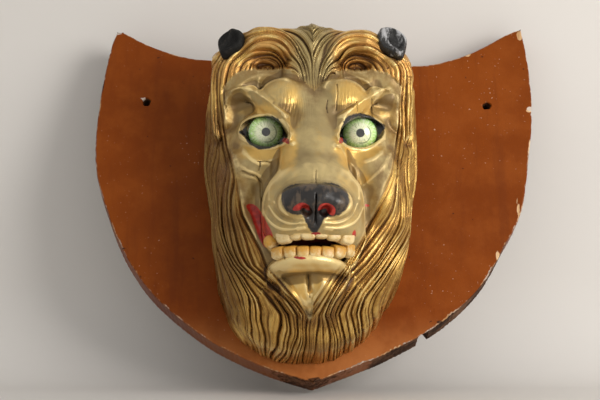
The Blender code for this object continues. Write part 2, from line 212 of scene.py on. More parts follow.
def cheeks_and_muzzle(f, p, m):
    """Cheeks, orbits and lids, then the bridge, muzzle and nose."""
    f = join(f, ball(m, (56, 88, -116), (27, 34, 26)), 8)
    f = join(f, ball(m, (62, 80, -135), (22, 30, 30)), 10)
    f = cut(f, ball(m, (54, 141, -86), (24, 26, 17)), 8)
    f = join(f, ball(m, EYE_CENTRE, (EYE_RADIUS + 4.5, EYE_RADIUS + 3, EYE_RADIUS + 1.5)), 4)
    f = join(f, rod(m, (0, 108, -70), (0, 138, -150), 27, 34), 8)
    f = join(f, drum(p, (0, 125, -172), (47, 53, 34), 4), 15)
    f = join(f, drum(m, (0, 168, -174.5), (33, 24, 15), 2.4), 3)
    return join(f, ball(m, (16, 173, -180), (14.5, 15, 9.5)), 4)


def chin(f, p, m):
    """Throat under the jaw, and the jaw, which sits a little to the left."""
    f = join(f, rod(m, (0, 98, -219), (0, 58, -236), 32, 27), 12)
    jaw = (p[0] + 4, p[1], p[2])
    f = join(f, drum(jaw, (0, 109, -220.5), (38, 46, 8.0), 2.8), 3)
    return join(f, rod(p, (33, 121, -213), (40, 121, -190), 6, 8), 4)


def mouth_gap(p):
    """Gap between the jaws, and the open corner on the left."""
    jaw = (p[0] + 3, p[1], p[2])
    gap = drum(jaw, (0, 112, -206.5), (33, 49, 6.5), 4)
    return join(gap, rod(p, (-62, 112, -157), (-46, 130, -194), 4.5, 6.5), 3)


def bare_head(p):
    """The head before the hair, the creases and the wear."""
    x, h, z = p
    m = (np.abs(x), h, z)
    f = mane(p)
    f = join(f, ball(m, (0, 58, -95), (92, 68, 95)), 8)
    f = brow(f, m)
    f = cheeks_and_muzzle(f, p, m)
    f = chin(f, p, m)
    opening = eye_opening(x, z + LOOK * h)
    rim = np.exp(-((opening - 2.0) / 1.8)**2)
    f = f - 1.3 * rim * soft(96, 104, h) * soft(-130, -115, z) * soft(-35, -50, z)
    f = cut(f, np.maximum(opening, 102 - h), 1.0)
    f = join(f, ball(m, (26.5, 113, -91.5), (5.5, 4.5, 5)), 1)
    f = cut(f, mouth_gap(p), 1.5)
    f = cut(f, rod(m, (12.5, 196, -192), (7.5, 178, -186), 5.2, 4.5), 1.5)
    crease = m[0] - 0.2 - 0.9 * soft(-186, -202, z)
    crease = np.maximum(crease, np.abs(z + 190) - 15)
    crease = np.maximum(crease, 173 - h)
    f = cut(f, crease, 2.0)
    return join(f, ball(p, (1, 108, 23), (9, 14, 10)), 4)


# Drawn marks, as X and T


def drawn(points, closed=False, rounds=2):
    """Rounds off the corners of a drawn line."""
    line = np.array(points, float)
    for _ in range(rounds):
        ends = line if closed else line[:-1]
        after = np.roll(line, -1, 0) if closed else line[1:]
        cutline = np.stack([0.75 * ends + 0.25 * after, 0.25 * ends + 0.75 * after], 1)
        cutline = cutline.reshape(-1, 2)
        line = cutline if closed else np.concatenate([line[:1], cutline, line[-1:]])
    return line


def line_distance(x, t, line, reach):
    """Distance from each place to a drawn line, no more than reach."""
    out = np.full(x.shape, float(reach))
    low = line.min(0) - reach
    high = line.max(0) + reach
    near = (x > low[0]) & (x < high[0]) & (t > low[1]) & (t < high[1])
    px, pt = x[near], t[near]
    best = np.full(px.shape, float(reach))
    for a, b in zip(line, line[1:]):
        way = b - a
        k = np.clip(((px - a[0]) * way[0] + (pt - a[1]) * way[1]) / (way @ way + 1e-9), 0, 1)
        best = np.minimum(best, np.hypot(px - a[0] - k * way[0], pt - a[1] - k * way[1]))
    out[near] = best
    return out


def outline_depth(x, t, points, reach=6):
    """How far inside a drawn outline each place lies; less than 0 outside it."""
    line = drawn(points, closed=True)
    line = np.concatenate([line, line[:1]])
    away = line_distance(x, t, line, reach)
    inside = np.zeros(x.shape, bool)
    for a, b in zip(line, line[1:]):
        if a[1] != b[1]:
            spans = (a[1] > t) != (b[1] > t)
            inside ^= spans & (x < a[0] + (t - a[1]) * (b[0] - a[0]) / (b[1] - a[1]))
    return np.where(inside, away, -away)


# Height and width of the crest, then the line it follows
RIDGES = (
    (4.6, 2.8, ((-84, -21), (-83, -7), (-78, 3), (-70, 9), (-57, 7), (-48, -1), (-39, -7),
                (-31, -14), (-25, -24), (-22, -36), (-21, -48))),
    (2.8, 2.8, ((-74, 8), (-69, 13), (-62, 19), (-54, 25), (-44, 26), (-35, 23), (-26, 19))),
    (1.6, 2.0, ((-51, 20), (-52, 11), (-53, 4))),
    (3.0, 2.8, ((10, 10), (14, 18), (25, 22), (37, 24), (48, 22), (55, 15), (58, 7), (66, 9),
                (74, 12), (81, 4), (82, -6))),
    (4.2, 3.2, ((70, 10), (59, 4), (49, -2), (38, -10), (30, -18), (25, -28), (22, -38), (21, -50))),
    (1.5, 2.2, ((-68, -42), (-65, -54), (-59, -63), (-51, -68), (-42, -67), (-34, -62))),
    (1.6, 2.4, ((-76, -54), (-72, -64), (-67, -73), (-58, -80), (-51, -82))),
    (1.2, 2.2, ((-40, -70), (-40, -80), (-41, -92), (-41, -104))),
    (2.0, 2.2, ((23, -50), (29, -59), (35, -66), (40, -74), (41, -86), (40, -102))),
    (1.8, 2.4, ((73, -56), (65, -71), (56, -80), (47, -89))),
    (1.4, 2.2, ((69, -42), (66, -53), (58, -61), (49, -65))),
    (1.5, 1.4, ((-46, -116), (-40, -126), (-31, -132), (-20, -132), (-10, -130))),
    (1.5, 1.4, ((-41, -110), (-35, -120), (-26, -126), (-17, -126.5), (-9, -125))),
    (1.3, 1.3, ((-36, -106), (-31, -114), (-22, -121), (-14, -122), (-8, -121))),
    (1.5, 1.4, ((44, -111), (38, -123), (28, -129), (18, -131), (9, -130))),
    (1.5, 1.4, ((38, -107), (33, -118), (24, -124.5), (15, -126), (8, -125))),
    (1.3, 1.3, ((34, -103), (30, -112), (22, -119.5), (14, -122), (8, -121))),
    (3.4, 4.2, ((-26, -184), (-17, -194), (-9, -205))),
    (3.0, 3.6, ((8, -182), (7, -194), (2, -206))),
)

# Depth and width of the groove, then the line it follows
GROOVES = (
    (3.0, 2.0, ((-5, -177), (-4.5, -184), (-3, -192))),
    (1.6, 1.6, ((-27, -180), (-21, -186), (-13, -198), (-4, -216))),
    (1.6, 1.6, ((22, -177), (20, -184), (13, -196), (5, -206), (-2, -217))),
    (1.5, 1.3, ((-65, -76), (-59, -79), (-51, -81.5), (-47.5, -87), (-47.5, -100), (-46, -112))),
    (1.0, 2.0, ((-48, 14), (-45, 2), (-37, -6))),
    (2.5, 5.0, ((-59, -112), (-53, -120), (-47, -134), (-42, -146))),
)

# Cracks in the wood and the paint
CRACKS = (
    ((22, 13), (22.6, 4), (21.6, -3), (21, -14)), ((55, -1), (56.2, -10), (56, -19)),
    ((40, -5), (41, -15)),
    ((-51, -66), (-45, -65.4), (-38, -67)), ((-49, -66), (-48.6, -70), (-50, -75)),
    ((-65, -76), (-59, -79), (-52, -81), (-48, -87)), ((0.4, -76), (0, -84), (0.5, -90)),
    ((-26, -146), (-25.6, -152), (-26.2, -160)), ((-5, -177), (-4, -183), (-4.6, -190), (-3, -198)),
    ((44, -147), (40, -160), (33, -168)), ((13, -4), (12, -12), (13, -17)),
)

# Places hollowed or raised as a whole: X, T, half width, half height, amount
PLANES = (
    (-68, -8, 12, 11, -4.6), (68, -7, 11, 8, -3.8), (-47, 12, 8, 9, -2.2), (-53, -98, 8, 20, -3.0),
    (50, -97, 8, 17, -3.0), (-92, -46, 5, 4, -3.0),
    (95, -46, 5, 4, -3.0), (-13, -186, 7, 12, 1.6), (11, -186, 6, 12, 1.4),
)

# Bright leaf on the bosses of the face: X, T, half width, half height, strength
LEAF = (
    (-17, -8, 10, 22, 0.6), (-52, -14, 16, 5, 0.9), (-50, -58, 20, 7, 1.0), (-26, -62, 6, 12, 0.7),
    (0, -166, 32, 9, 0.5), (62, -74, 12, 18, -0.5), (-60, -74, 10, 16, -0.3),
    (34, 2, 15, 13, 0.9), (53, -12, 16, 6, 0.9), (50, -55, 18, 8, 1.0), (32, -62, 8, 8, 0.9),
    (-14, -190, 9, 18, 0.9), (11, -186, 8, 16, 1.0), (-80, -30, 6, 30, 0.4), (78, -30, 5, 24, 0.4),
    (46, -84, 10, 6, 0.6), (-70, -84, 12, 8, 0.4), (-20, -52, 5, 14, 0.6), (22, -48, 5, 12, 0.6),
    (4, -52, 9, 34, 0.45), (68, -74, 10, 22, -0.5),
)

# Brown glaze in the bronze paint, partly painted shade in the creases by the hair and in the furrows: X, T,
# half width, half height, strength
GLAZE_AND_SHADE_SPOTS = (
    (63, -76, 9, 18, 0.9), (-66, -88, 9, 22, 0.7), (-24, -18, 3, 16, 0.6), (22, -20, 4, 12, 0.5),
    (-2, 0, 6, 12, 0.5), (-60, -102, 9, 12, 0.7), (55, -20, 3, 10, 0.4), (-36, -74, 4, 20, 0.4),
    (36, -80, 4, 16, 0.4),
)

# Outlines of the black nose, the black lids and the red places, as X and T
NOSE_PAD = (
    (-30, -103), (-29.5, -96), (-23, -90), (-12, -88), (0, -88.5), (12, -87), (23, -90), (29, -98),
    (29.5, -107), (24, -116), (15, -119), (9, -119), (6, -124), (3.5, -130), (1, -135), (-2, -135),
    (-5, -130), (-8, -125), (-10, -119), (-14, -117.5), (-21, -117.5), (-28, -112),
)
LIDS = (
    ((-71, -36), (-64, -31), (-55, -22), (-44, -18.5), (-33, -21.5), (-27.5, -30), (-23.5, -41),
     (-22.5, -52), (-29, -48), (-40, -53.5), (-51, -54.5), (-61, -48), (-64, -40)),
    ((72, -27), (63, -23), (54, -16.5), (42, -15.5), (31, -19.5), (25, -28), (22, -40), (21.5, -50),
     (29, -46.5), (36, -50), (46, -51), (57, -46), (64, -36)),
)
RED_PLACES = (
    ((-62, -109), (-56, -108), (-51, -111), (-47, -117), (-41, -128), (-37, -136), (-36, -144),
     (-40, -149), (-43, -153), (-49, -143), (-53, -132), (-57, -119), (-61, -113)),
    ((-21, -114), (-18, -109), (-12, -106), (-6, -108.5), (-4.5, -114), (-8, -114), (-11, -110.5),
     (-15, -114)),
    ((1, -114), (3, -108.5), (8, -106), (14, -108), (18, -113), (16, -119), (11, -117), (9.5, -111),
     (5, -113)),
    ((-22, -50), (-23.5, -44), (-26, -41), (-29, -45), (-27, -48)),
    ((22, -49), (23.5, -42), (26, -39.5), (28.5, -43.5), (27, -47)),
    ((48, -107), (53, -108), (53, -110), (48, -110)), ((33, -133), (37, -131), (36, -140), (33, -141)),
    ((-20, -158), (-12, -157), (-6, -159), (-12, -160.5)), ((-4, -135), (4, -134), (5, -137), (-3, -138)),
)


def face_edge(x, t):
    """Half width of the bare face at the height t of the looking line."""
    left = np.interp(t, (-217, -202, -182, -170, -153, -120, -51, 10), (6, 14, 29, 41, 47, 62, 78, 84))
    right = np.interp(t, (-217, -174, -163, -121, -77, -53, 10), (-6, 20, 28, 54, 72, 78, 84))
    return np.where(x < 0, left, right)


def face_top(x):
    """Hairline over the brow, with a point for the parting."""
    from_parting = (0, 8, 16, 22, 30, 58, 72, 84, 92)
    return np.interp(np.abs(x - 1), from_parting, (6, 14, 22, 27, 30, 30, 26, 14, -10))


def hair_flow(x, h, z):
    """Number of the strand at a place, how wide a strand is there, and how far along it lies."""
    ax = np.abs(x)
    t = z + LOOK * h
    inner = face_edge(x, t)
    outer = np.interp(t, (-285, -255, -225, -190, -130), (52, 58, 74, 88, 100))
    room = np.maximum(outer - inner, 12)
    wall = np.maximum(0, 60 - h) * soft(-225, -150, z)
    side_width = room / LOCK_PITCH
    side = FIRST_STRAND + (ax - inner) / side_width + wall / np.clip(side_width, 1.6, 3.2)
    gather = 1 + 1.5 * soft(50, 8, t) * soft(28, 12, ax)
    crown = arch_size(np.minimum(ax * gather, TEMPLE[0] + 80), z)
    crown = crown + wall / 1.9 - 0.9 * np.maximum(0, 118 - h) * soft(19, 11, crown) * soft(-24, -17, z)
    crown_width = 1.15 + 0.65 * soft(42, 80, ax)
    share = np.where(ax < TEMPLE[0], 1.0, soft(-45, 0, z)) * soft(-110, -70, z)
    s = side * (1 - share) + crown * share
    return s, side_width * (1 - share) + crown_width * share, t - 0.8 * ax * share


def hair_relief(x, h, z):
    """Locks that divide into strands, as a height over the bare head, with what the marks need."""
    s, width, along = hair_flow(x, h, z)
    t = z + LOOK * h
    stride = np.maximum(np.abs(np.gradient(s, axis=0)), np.abs(np.gradient(s, axis=1))) + 1e-6
    s = np.sign(x) * (s - FIRST_STRAND)
    bend = 1.7 * np.sin(t / 13 + s * 0.45) + 0.7 * np.sin(t / 6.3 + s * 1.1)
    sway = 2.2 * np.sin(along / 27 + s * 0.17) + 1.1 * np.sin(along / 11 + s * 0.43)
    s = s + (sway + bend * soft(-160, -235, t)) / np.maximum(width, 1.0)
    pitch = LOCK_PITCH
    step = np.floor(s / pitch)
    u = s / pitch - step
    seed = step * 3.7
    relief = np.zeros(x.shape)
    for _ in range(LOCK_SPLITS):
        span = pitch * width
        fine = np.clip((span - 1.0) / 1.3, 0, 1) * soft(2.5, 5.0, pitch / stride)
        deep = np.clip(0.56 * span, 0, 2.5) * fine * (1 - 0.62 * soft(6, 14, span))
        crest = (4 * u * (1 - u) + 1e-6)**0.75
        swell = 1 + 0.25 * np.sin(along / 17 + 6.3 * scatter(seed + 0.7))
        relief = relief + deep * ((0.45 + 0.55 * scatter(seed)) * crest * swell - 0.55)
        split = 0.34 + 0.32 * (0.5 + 0.5 * np.sin(along / 24 + 6.3 * scatter(seed + 0.3)))
        right = u > split
        u = np.where(right, (u - split) / (1 - split), u / split)
        seed = seed * 1.7 + 2.3 + 5.1 * right
        pitch = pitch / 2
    inside = np.minimum(face_edge(x, t) - np.abs(x), face_top(x) - t)
    inside = np.minimum(inside, 0.6 * (t + 217))
    ragged = (0.8 * np.sin(s * 2.6) + 0.5 * np.sin(s * 5.7 + 1)) * (1 + 1.5 * soft(-150, -185, t))
    tuft = soft(22, 8, np.abs(x - 1)) * soft(36, 8, t) * (t > -100)
    relief = relief * (1 - 0.75 * tuft) + 0.9 * tuft
    cover = soft(0.8, -2.2, inside + ragged)
    back = soft(-6, 4, h)
    throat = 4.5 * soft(-4, 8, inside) * soft(-168, -182, t)
    return cover * (relief * back - 0.3) - throat, cover, s, along, soft(3.0, 1.8, width), inside


def surface_relief(x, h, z):
    """Everything that is carved or worn into the bare head, and the marks that the paint follows."""
    t = z + LOOK * h
    relief, cover, s, along, close, inside = hair_relief(x, h, z)
    front = soft(60, 80, h)
    face = (1 - cover) * front
    for height, reach, points in RIDGES:
        d = line_distance(x, t, drawn(points), reach * 4)
        height = 1.7 * height * soft(29, 18, t)
        relief = relief + face * height * (np.exp(-np.sqrt((d / reach)**2 + 0.3)) - math.exp(-4))
    for depth, reach, points in GROOVES:
        d = line_distance(x, t, drawn(points), reach * 3)
        relief = relief - face * depth * np.exp(-(d / reach)**2)
    for *oval, amount in PLANES:
        relief = relief + front * amount * spot(x, t, *oval)
    crack = np.full(x.shape, 9.0)
    for points in CRACKS:
        crack = np.minimum(crack, line_distance(x, t, np.array(points, float), 9))
    crack = np.where(front > 0.5, crack, 9.0)
    relief = relief - 0.9 * np.exp(-(crack / 0.55)**2) * (1 - cover)
    leaf = sum(amount * spot(x, t, *oval) for *oval, amount in LEAF)
    chisel = np.sin(x * 2.5 + 1.3 * np.sin(t / 5) + 0.8 * np.sin(t / 2.1 + x))
    chisel = chisel * np.sin(t / 3.3 + x * 0.6)
    lobe = spot(x, t, -17, -8, 13, 20) + 0.6 * spot(x, t, 30, 0, 12, 14)
    relief = relief + face * 0.20 * np.clip(lobe * 1.5, 0, 1) * chisel
    ripple = face * 0.16 * np.sin(x / 3.1 + 2 * np.sin(t / 9))
    relief = relief + ripple * np.sin(t / 4.3 + 2 * np.sin(x / 7))
    black = np.where(h > 158, outline_depth(x, t, NOSE_PAD), -6)
    for points in LIDS:
        lid = np.where((h > 88) & (h < 137), outline_depth(x, t, points) - 0.5, -6)
        black = np.maximum(black, lid)
    red = np.full(x.shape, -6.0)
    for points in RED_PLACES:
        red = np.maximum(red, outline_depth(x, t, points))
    parting = soft(30, 12, np.abs(x - 1)) * soft(-5, 20, t)
    bridge = np.exp(-((x - 2) / 17)**4) * soft(-98, -84, t) * soft(18, 0, t)
    leaf = np.clip(leaf + 0.40 - 0.5 * bridge, 0, 1)
    # Brown near the hairline and at the listed spots: partly glaze, partly painted shade in the creases.
    stain = soft(22, 0, inside) * soft(-150, -100, t)
    for *oval, amount in GLAZE_AND_SHADE_SPOTS:
        stain = np.maximum(stain, amount * spot(x, t, *oval))
    # Where the face's painted hollow shade may reach: 0 round the muzzle, 1 away from it.
    hollow_shade_reach = 1 - np.exp(-((x / 44)**2 + ((t + 104) / 34)**2)**2)
    marks = {
        "hair": cover, "strand": s, "along": along, "close": close, "leaf": leaf * face,
        "hollow_shade_reach": hollow_shade_reach, "edge": face * stain, "black": black, "crack": crack,
        "red": np.where(front > 0.5, red, -6.0),
        "rim": soft(5, 1, inside) * soft(-150, -175, t),
        "mouth": front * soft(2.0, 0.2, mouth_gap((x, h, z))),
        "copper": cover * soft(-10, 30, t) * (1 - parting),
        "parting": cover * parting,
        # Left side of the mane darker brown: painted shade on the side away from the light, with worn
        # gilding.
        "rubbed": cover * soft(-48, -78, x) * soft(10, -30, t) * soft(-255, -215, t),
    }
    return relief, marks


# Laying a net over the head


def spread(count, shares, rings):
    """Ring numbers of a run of lines that reaches each ring at its share of the run."""
    return np.interp(np.arange(count + 1), [count * share for share in shares], rings)


def ring_lines():
    """Ring numbers of the net's columns and rows: 0 to 1 plate, 1 to 2 rim, 2 to 3 wall."""
    side_knots = (0, SIDE_COLUMNS / 3, SIDE_COLUMNS)
    side = np.interp(np.arange(SIDE_COLUMNS + 1), side_knots, (3, 2, HAIRLINE_RING))
    middle = np.linspace(-HAIRLINE_RING, HAIRLINE_RING, FACE_COLUMNS + 1)
    across = np.concatenate([-side, middle[1:], side[::-1][1:]])
    low = spread(BEARD_ROWS, (0, 0.26, 0.73, 1), (-3, -2, -1, BEARD_RING))
    middle = np.linspace(BEARD_RING, CROWN_RING, FACE_ROWS + 1)
    high = spread(CROWN_ROWS, (0, 0.52, 0.80, 0.88, 1), (CROWN_RING, 1, 1.45, 2, 3))
    return across, np.concatenate([low, middle[1:], high[1:]])


def carving_rays(a, b):
    """Start and direction of a ray for each pair of ring numbers."""
    ring = np.maximum(np.abs(a), np.abs(b))
    safe = np.maximum(ring, 1e-9)
    qx = a / safe
    qz = b / safe
    scale = 1 / (qx**4 + qz**4 + 1e-12)**0.25
    ox = qx * scale
    oz = qz * scale
    plate = np.minimum(ring, 1)
    tall = np.where(oz > 0, PLATE_ABOVE, PLATE_BELOW)
    nx = np.sign(ox) * np.abs(ox)**3 / PLATE_HALF_WIDTH
    nz = np.sign(oz) * np.abs(oz)**3 / tall
    size = np.sqrt(nx**2 + nz**2) + 1e-12
    angle = np.clip(ring - 1, 0, 1) * math.pi / 2
    wall = np.clip(ring - 2, 0, 1)
    z = PLATE_MIDDLE + oz * plate * tall
    start = np.stack([ox * plate * PLATE_HALF_WIDTH, PLATE_DEPTH * (1 - wall) + GAP * wall, z])
    dx = np.sin(angle) * nx / size
    dh = np.cos(angle)
    dz = np.sin(angle) * nz / size - LOOK * dh
    way = np.stack([dx, dh, dz])
    return start, way / np.sqrt((way**2).sum(0))


def first_wood(start, way, far):
    """Walks in from far along every ray to the first wood it meets."""
    shape = far.shape
    start = start.reshape(3, -1)
    way = way.reshape(3, -1)
    far = far.ravel().copy()
    live = np.arange(far.size)
    for _ in range(MOST_STEPS):
        p = start[:, live] + way[:, live] * far[live]
        d = bare_head(p)
        far[live] = np.maximum(far[live] - STEP_SHARE * d, 0)
        live = live[np.abs(d) > NEAR_ENOUGH]
        if not live.size:
            break
    return far.reshape(shape)


def nearby_most(a):
    """The most of each value and those round it."""
    out = a.copy()
    for axis in (0, 1):
        wide = out.copy()
        for shift in (-1, 1):
            wide = np.maximum(wide, np.roll(out, shift, axis))
        out = wide
    return out


def smoothed(a, reaches):
    """Mean over an oblong of neighbours, so many rows and columns each way, the border kept."""
    for axis, reach in zip((1, 2), reaches):
        pad = [(0, 0)] * 3
        pad[axis] = (reach + 1, reach)
        total = np.cumsum(np.pad(a, pad, mode="edge"), axis)
        size = 2 * reach + 1
        index = np.arange(a.shape[axis])
        a = (np.take(total, index + size, axis) - np.take(total, index, axis)) / size
    return a


def facing(p, way):
    """Outward direction of the net at each knot."""
    n = np.cross(np.gradient(p, axis=2), np.gradient(p, axis=1), axis=0)
    n = n / (np.sqrt((n**2).sum(0)) + 1e-9)
    return np.where((n * way).sum(0) < 0, -n, n)


def carve_head():
    """Knots, directions and marks of the whole net."""
    across, up = ring_lines()
    a, b = np.meshgrid(across, up)
    start, way = carving_rays(a, b)
    rows, cols = [np.unique(np.append(np.arange(0, len(lines), COARSE_STEP), len(lines) - 1))
                  for lines in (up, across)]
    grid = np.ix_(range(3), rows, cols)
    far = first_wood(start[grid], way[grid], np.full((len(rows), len(cols)), FAR_OUT))
    far = nearby_most(far) + 1.0
    far = np.stack([np.interp(np.arange(len(across)), cols, line) for line in far])
    far = np.stack([np.interp(np.arange(len(up)), rows, line) for line in far.T]).T
    far = first_wood(start, way, far)
    p = start + way * far
    lean = np.clip((facing(p, way) * way).sum(0), 0.45, 1)
    relief, marks = surface_relief(*p)
    far = far + relief / lean
    p = start + way * far
    n = facing(p, way)
    near = 1 // COARSER
    for name, rows_each_way, columns_each_way in (("proud", 5, 3), ("swell", 18, 12)):
        reaches = max(1, rows_each_way // COARSER), max(1, columns_each_way // COARSER)
        marks[name] = ((smoothed(p, (near, near)) - smoothed(p, reaches)) * n).sum(0)
    return p, n, start, marks


def in_plaque(x, h, z):
    """Carving millimetres to the plaque's own frame in metres."""
    return x * MM + HEAD_MIDDLE, -BOARD_THICKNESS - h * MM, z * MM - HEAD_DROP


def within_block(p):
    """Knots in the plaque's own frame, kept within the block of the CAD head."""
    return np.stack([np.clip(*line) for line in zip(in_plaque(*p), *head_box)], -1)


def turned(n):
    """Direction in carving axes to the plaque's own axes."""
    return np.stack([n[0], -n[1], n[2]], -1)


def carved_block(name, net, first_row, rows, first_col, cols, finish):
    """One block of the head: its share of the net in front, and plain sides that run in to the core."""
    knots, directions, cores, marks = net
    bm = bmesh.new()
    bmesh.ops.create_grid(bm, x_segments=cols, y_segments=rows, size=1.0)
    place = bm.verts.layers.int.new("place")
    wide = knots.shape[1]
    flat = knots.reshape(-1, 3)
    inner = cores.reshape(-1, 3)
    for w in bm.verts:
        i = first_col + round((w.co.x + 1) / 2 * cols)
        j = first_row + round((w.co.y + 1) / 2 * rows)
        w[place] = j * wide + i
        w.co = flat[w[place]]
    rim = [e for e in bm.edges if e.is_boundary]
    grown = bmesh.ops.extrude_edge_only(bm, edges=rim)["geom"]
    for w in grown:
        if isinstance(w, bmesh.types.BMVert):
            w.co = inner[w[place]]
    bmesh.ops.edgenet_fill(bm, edges=[e for e in bm.edges if e.is_boundary])
    face_outwards(bm)
    obj = piece_from(bm, name, finish)
    mesh = obj.data
    index = np.zeros(len(mesh.vertices), np.int32)
    mesh.attributes["place"].data.foreach_get("value", index)
    mesh.attributes.remove(mesh.attributes["place"])
    for key, values in marks.items():
        set_mark(mesh, key, values.ravel()[index])
    mesh.normals_split_custom_set_from_vertices(directions.reshape(-1, 3)[index].tolist())
    return obj


def face_outwards(bm):
    """Turns every face of a closed shape outwards."""
    bm.normal_update()
    bmesh.ops.recalc_face_normals(bm, faces=bm.faces)
    if bm.calc_volume(signed=True) < 0:
        bmesh.ops.reverse_faces(bm, faces=bm.faces)


def set_mark(mesh, name, values):
    """A number at each knot, for the finish to read."""
    mark = mesh.attributes.new(name, "FLOAT", "POINT")
    mark.data.foreach_set("value", values.astype(np.float32))


def in_scene(name, data):
    """New object of a mesh, a lamp or a camera."""
    obj = bpy.data.objects.new(name, data)
    bpy.context.scene.collection.objects.link(obj)
    return obj


def piece_from(bm, name, finish):
    """Working mesh to a smooth piece of that name."""
    mesh = bpy.data.meshes.new(name)
    bm.to_mesh(mesh)
    bm.free()
    mesh.materials.append(finish)
    mesh.polygons.foreach_set("use_smooth", [True] * len(mesh.polygons))
    return in_scene(name, mesh)


# Finishes


class Finish:
    """Recipe of one painted, gilded or glazed surface."""

    def __init__(self, name, **plain):
        self.material = bpy.data.materials.new(name)
        self.material.use_nodes = True
        self.tree = self.material.node_tree
        self.shader = self.tree.nodes["Principled BSDF"]
        for key, value in plain.items():
            self.shader.inputs[key.replace("_", " ")].default_value = value

    def add(self, kind, inputs, out=0, **settings):
        """One node with its settings and inputs, numbers or links."""
        node = self.tree.nodes.new(kind)
        for key, value in settings.items():
            setattr(node, key, value)
        for key, value in inputs.items():
            if isinstance(value, bpy.types.NodeSocket):
                self.tree.links.new(value, node.inputs[key])
            else:
                node.inputs[key].default_value = value
        return node.outputs[out]

    def mark(self, name):
        """Number that the mesh carries at each knot."""
        return self.add("ShaderNodeAttribute", {}, out=2, attribute_name=name)

    def part(self, vector, axis):
        """One of the three numbers of a vector."""
        return self.add("ShaderNodeSeparateXYZ", {0: vector}, out=axis)

    def place(self, scale=(1, 1, 1), turn=(0, 0, 0)):
        """Object coordinates, stretched and turned."""
        own = self.add("ShaderNodeTexCoord", {}, out=3)
        return self.add("ShaderNodeMapping", {"Vector": own, "Scale": scale, "Rotation": turn})

    def noise(self, scale, detail=3.0, rough=0.55, at=None):
        """Cloudy pattern round 0.5."""
        inputs = {"Vector": at or self.place(), "Scale": scale, "Detail": detail, "Roughness": rough}
        return self.add("ShaderNodeTexNoise", inputs)

    def reckon(self, operation, a, b=0.0):
        return self.add("ShaderNodeMath", {0: a, 1: b}, operation=operation)

    def times(self, a, b):
        return self.reckon("MULTIPLY", a, b)

    def plus(self, a, *others):
        for b in others:
            a = self.reckon("ADD", a, b)
        return a

    def most(self, a, *others):
        for b in others:
            a = self.reckon("MAXIMUM", a, b)
        return a

    def less(self, a, b):
        return self.reckon("SUBTRACT", a, b)

    def swing(self, pattern, amount):
        """Ups and downs of a pattern round its middle, times an amount."""
        return self.times(self.less(pattern, 0.5), amount)

    def step(self, value, low, high, a=0.0, b=1.0):
        """Smooth step of a value between two numbers."""
        inputs = {"Value": value, "From Min": low, "From Max": high, "To Min": a, "To Max": b}
        return self.add("ShaderNodeMapRange", inputs, interpolation_type="SMOOTHSTEP")

    def mix(self, share, a, b):
        """Colour a where the share is 0 and colour b where it is 1."""
        a, b = [(*v, 1.0) if isinstance(v, tuple) and len(v) == 3 else v for v in (a, b)]
        return self.add("ShaderNodeMix", {0: share, 6: a, 7: b}, out=2, data_type="RGBA")

    def blend(self, share, a, b):
        """Number a where the share is 0 and number b where it is 1."""
        return self.add("ShaderNodeMix", {0: share, 2: a, 3: b}, data_type="FLOAT")

    def wear(self, colour, roughness=None, metallic=None, bump=None, strength=0.4, depth=0.0008):
        """Leads the finished recipe into the shader."""
        if bump:
            bump = self.add("ShaderNodeBump", {"Height": bump, "Strength": strength, "Distance": depth})
        recipe = {"Base Color": colour, "Roughness": roughness, "Metallic": metallic, "Normal": bump}
        for key, value in recipe.items():
            if value:
                self.tree.links.new(value, self.shader.inputs[key])
        return self.material


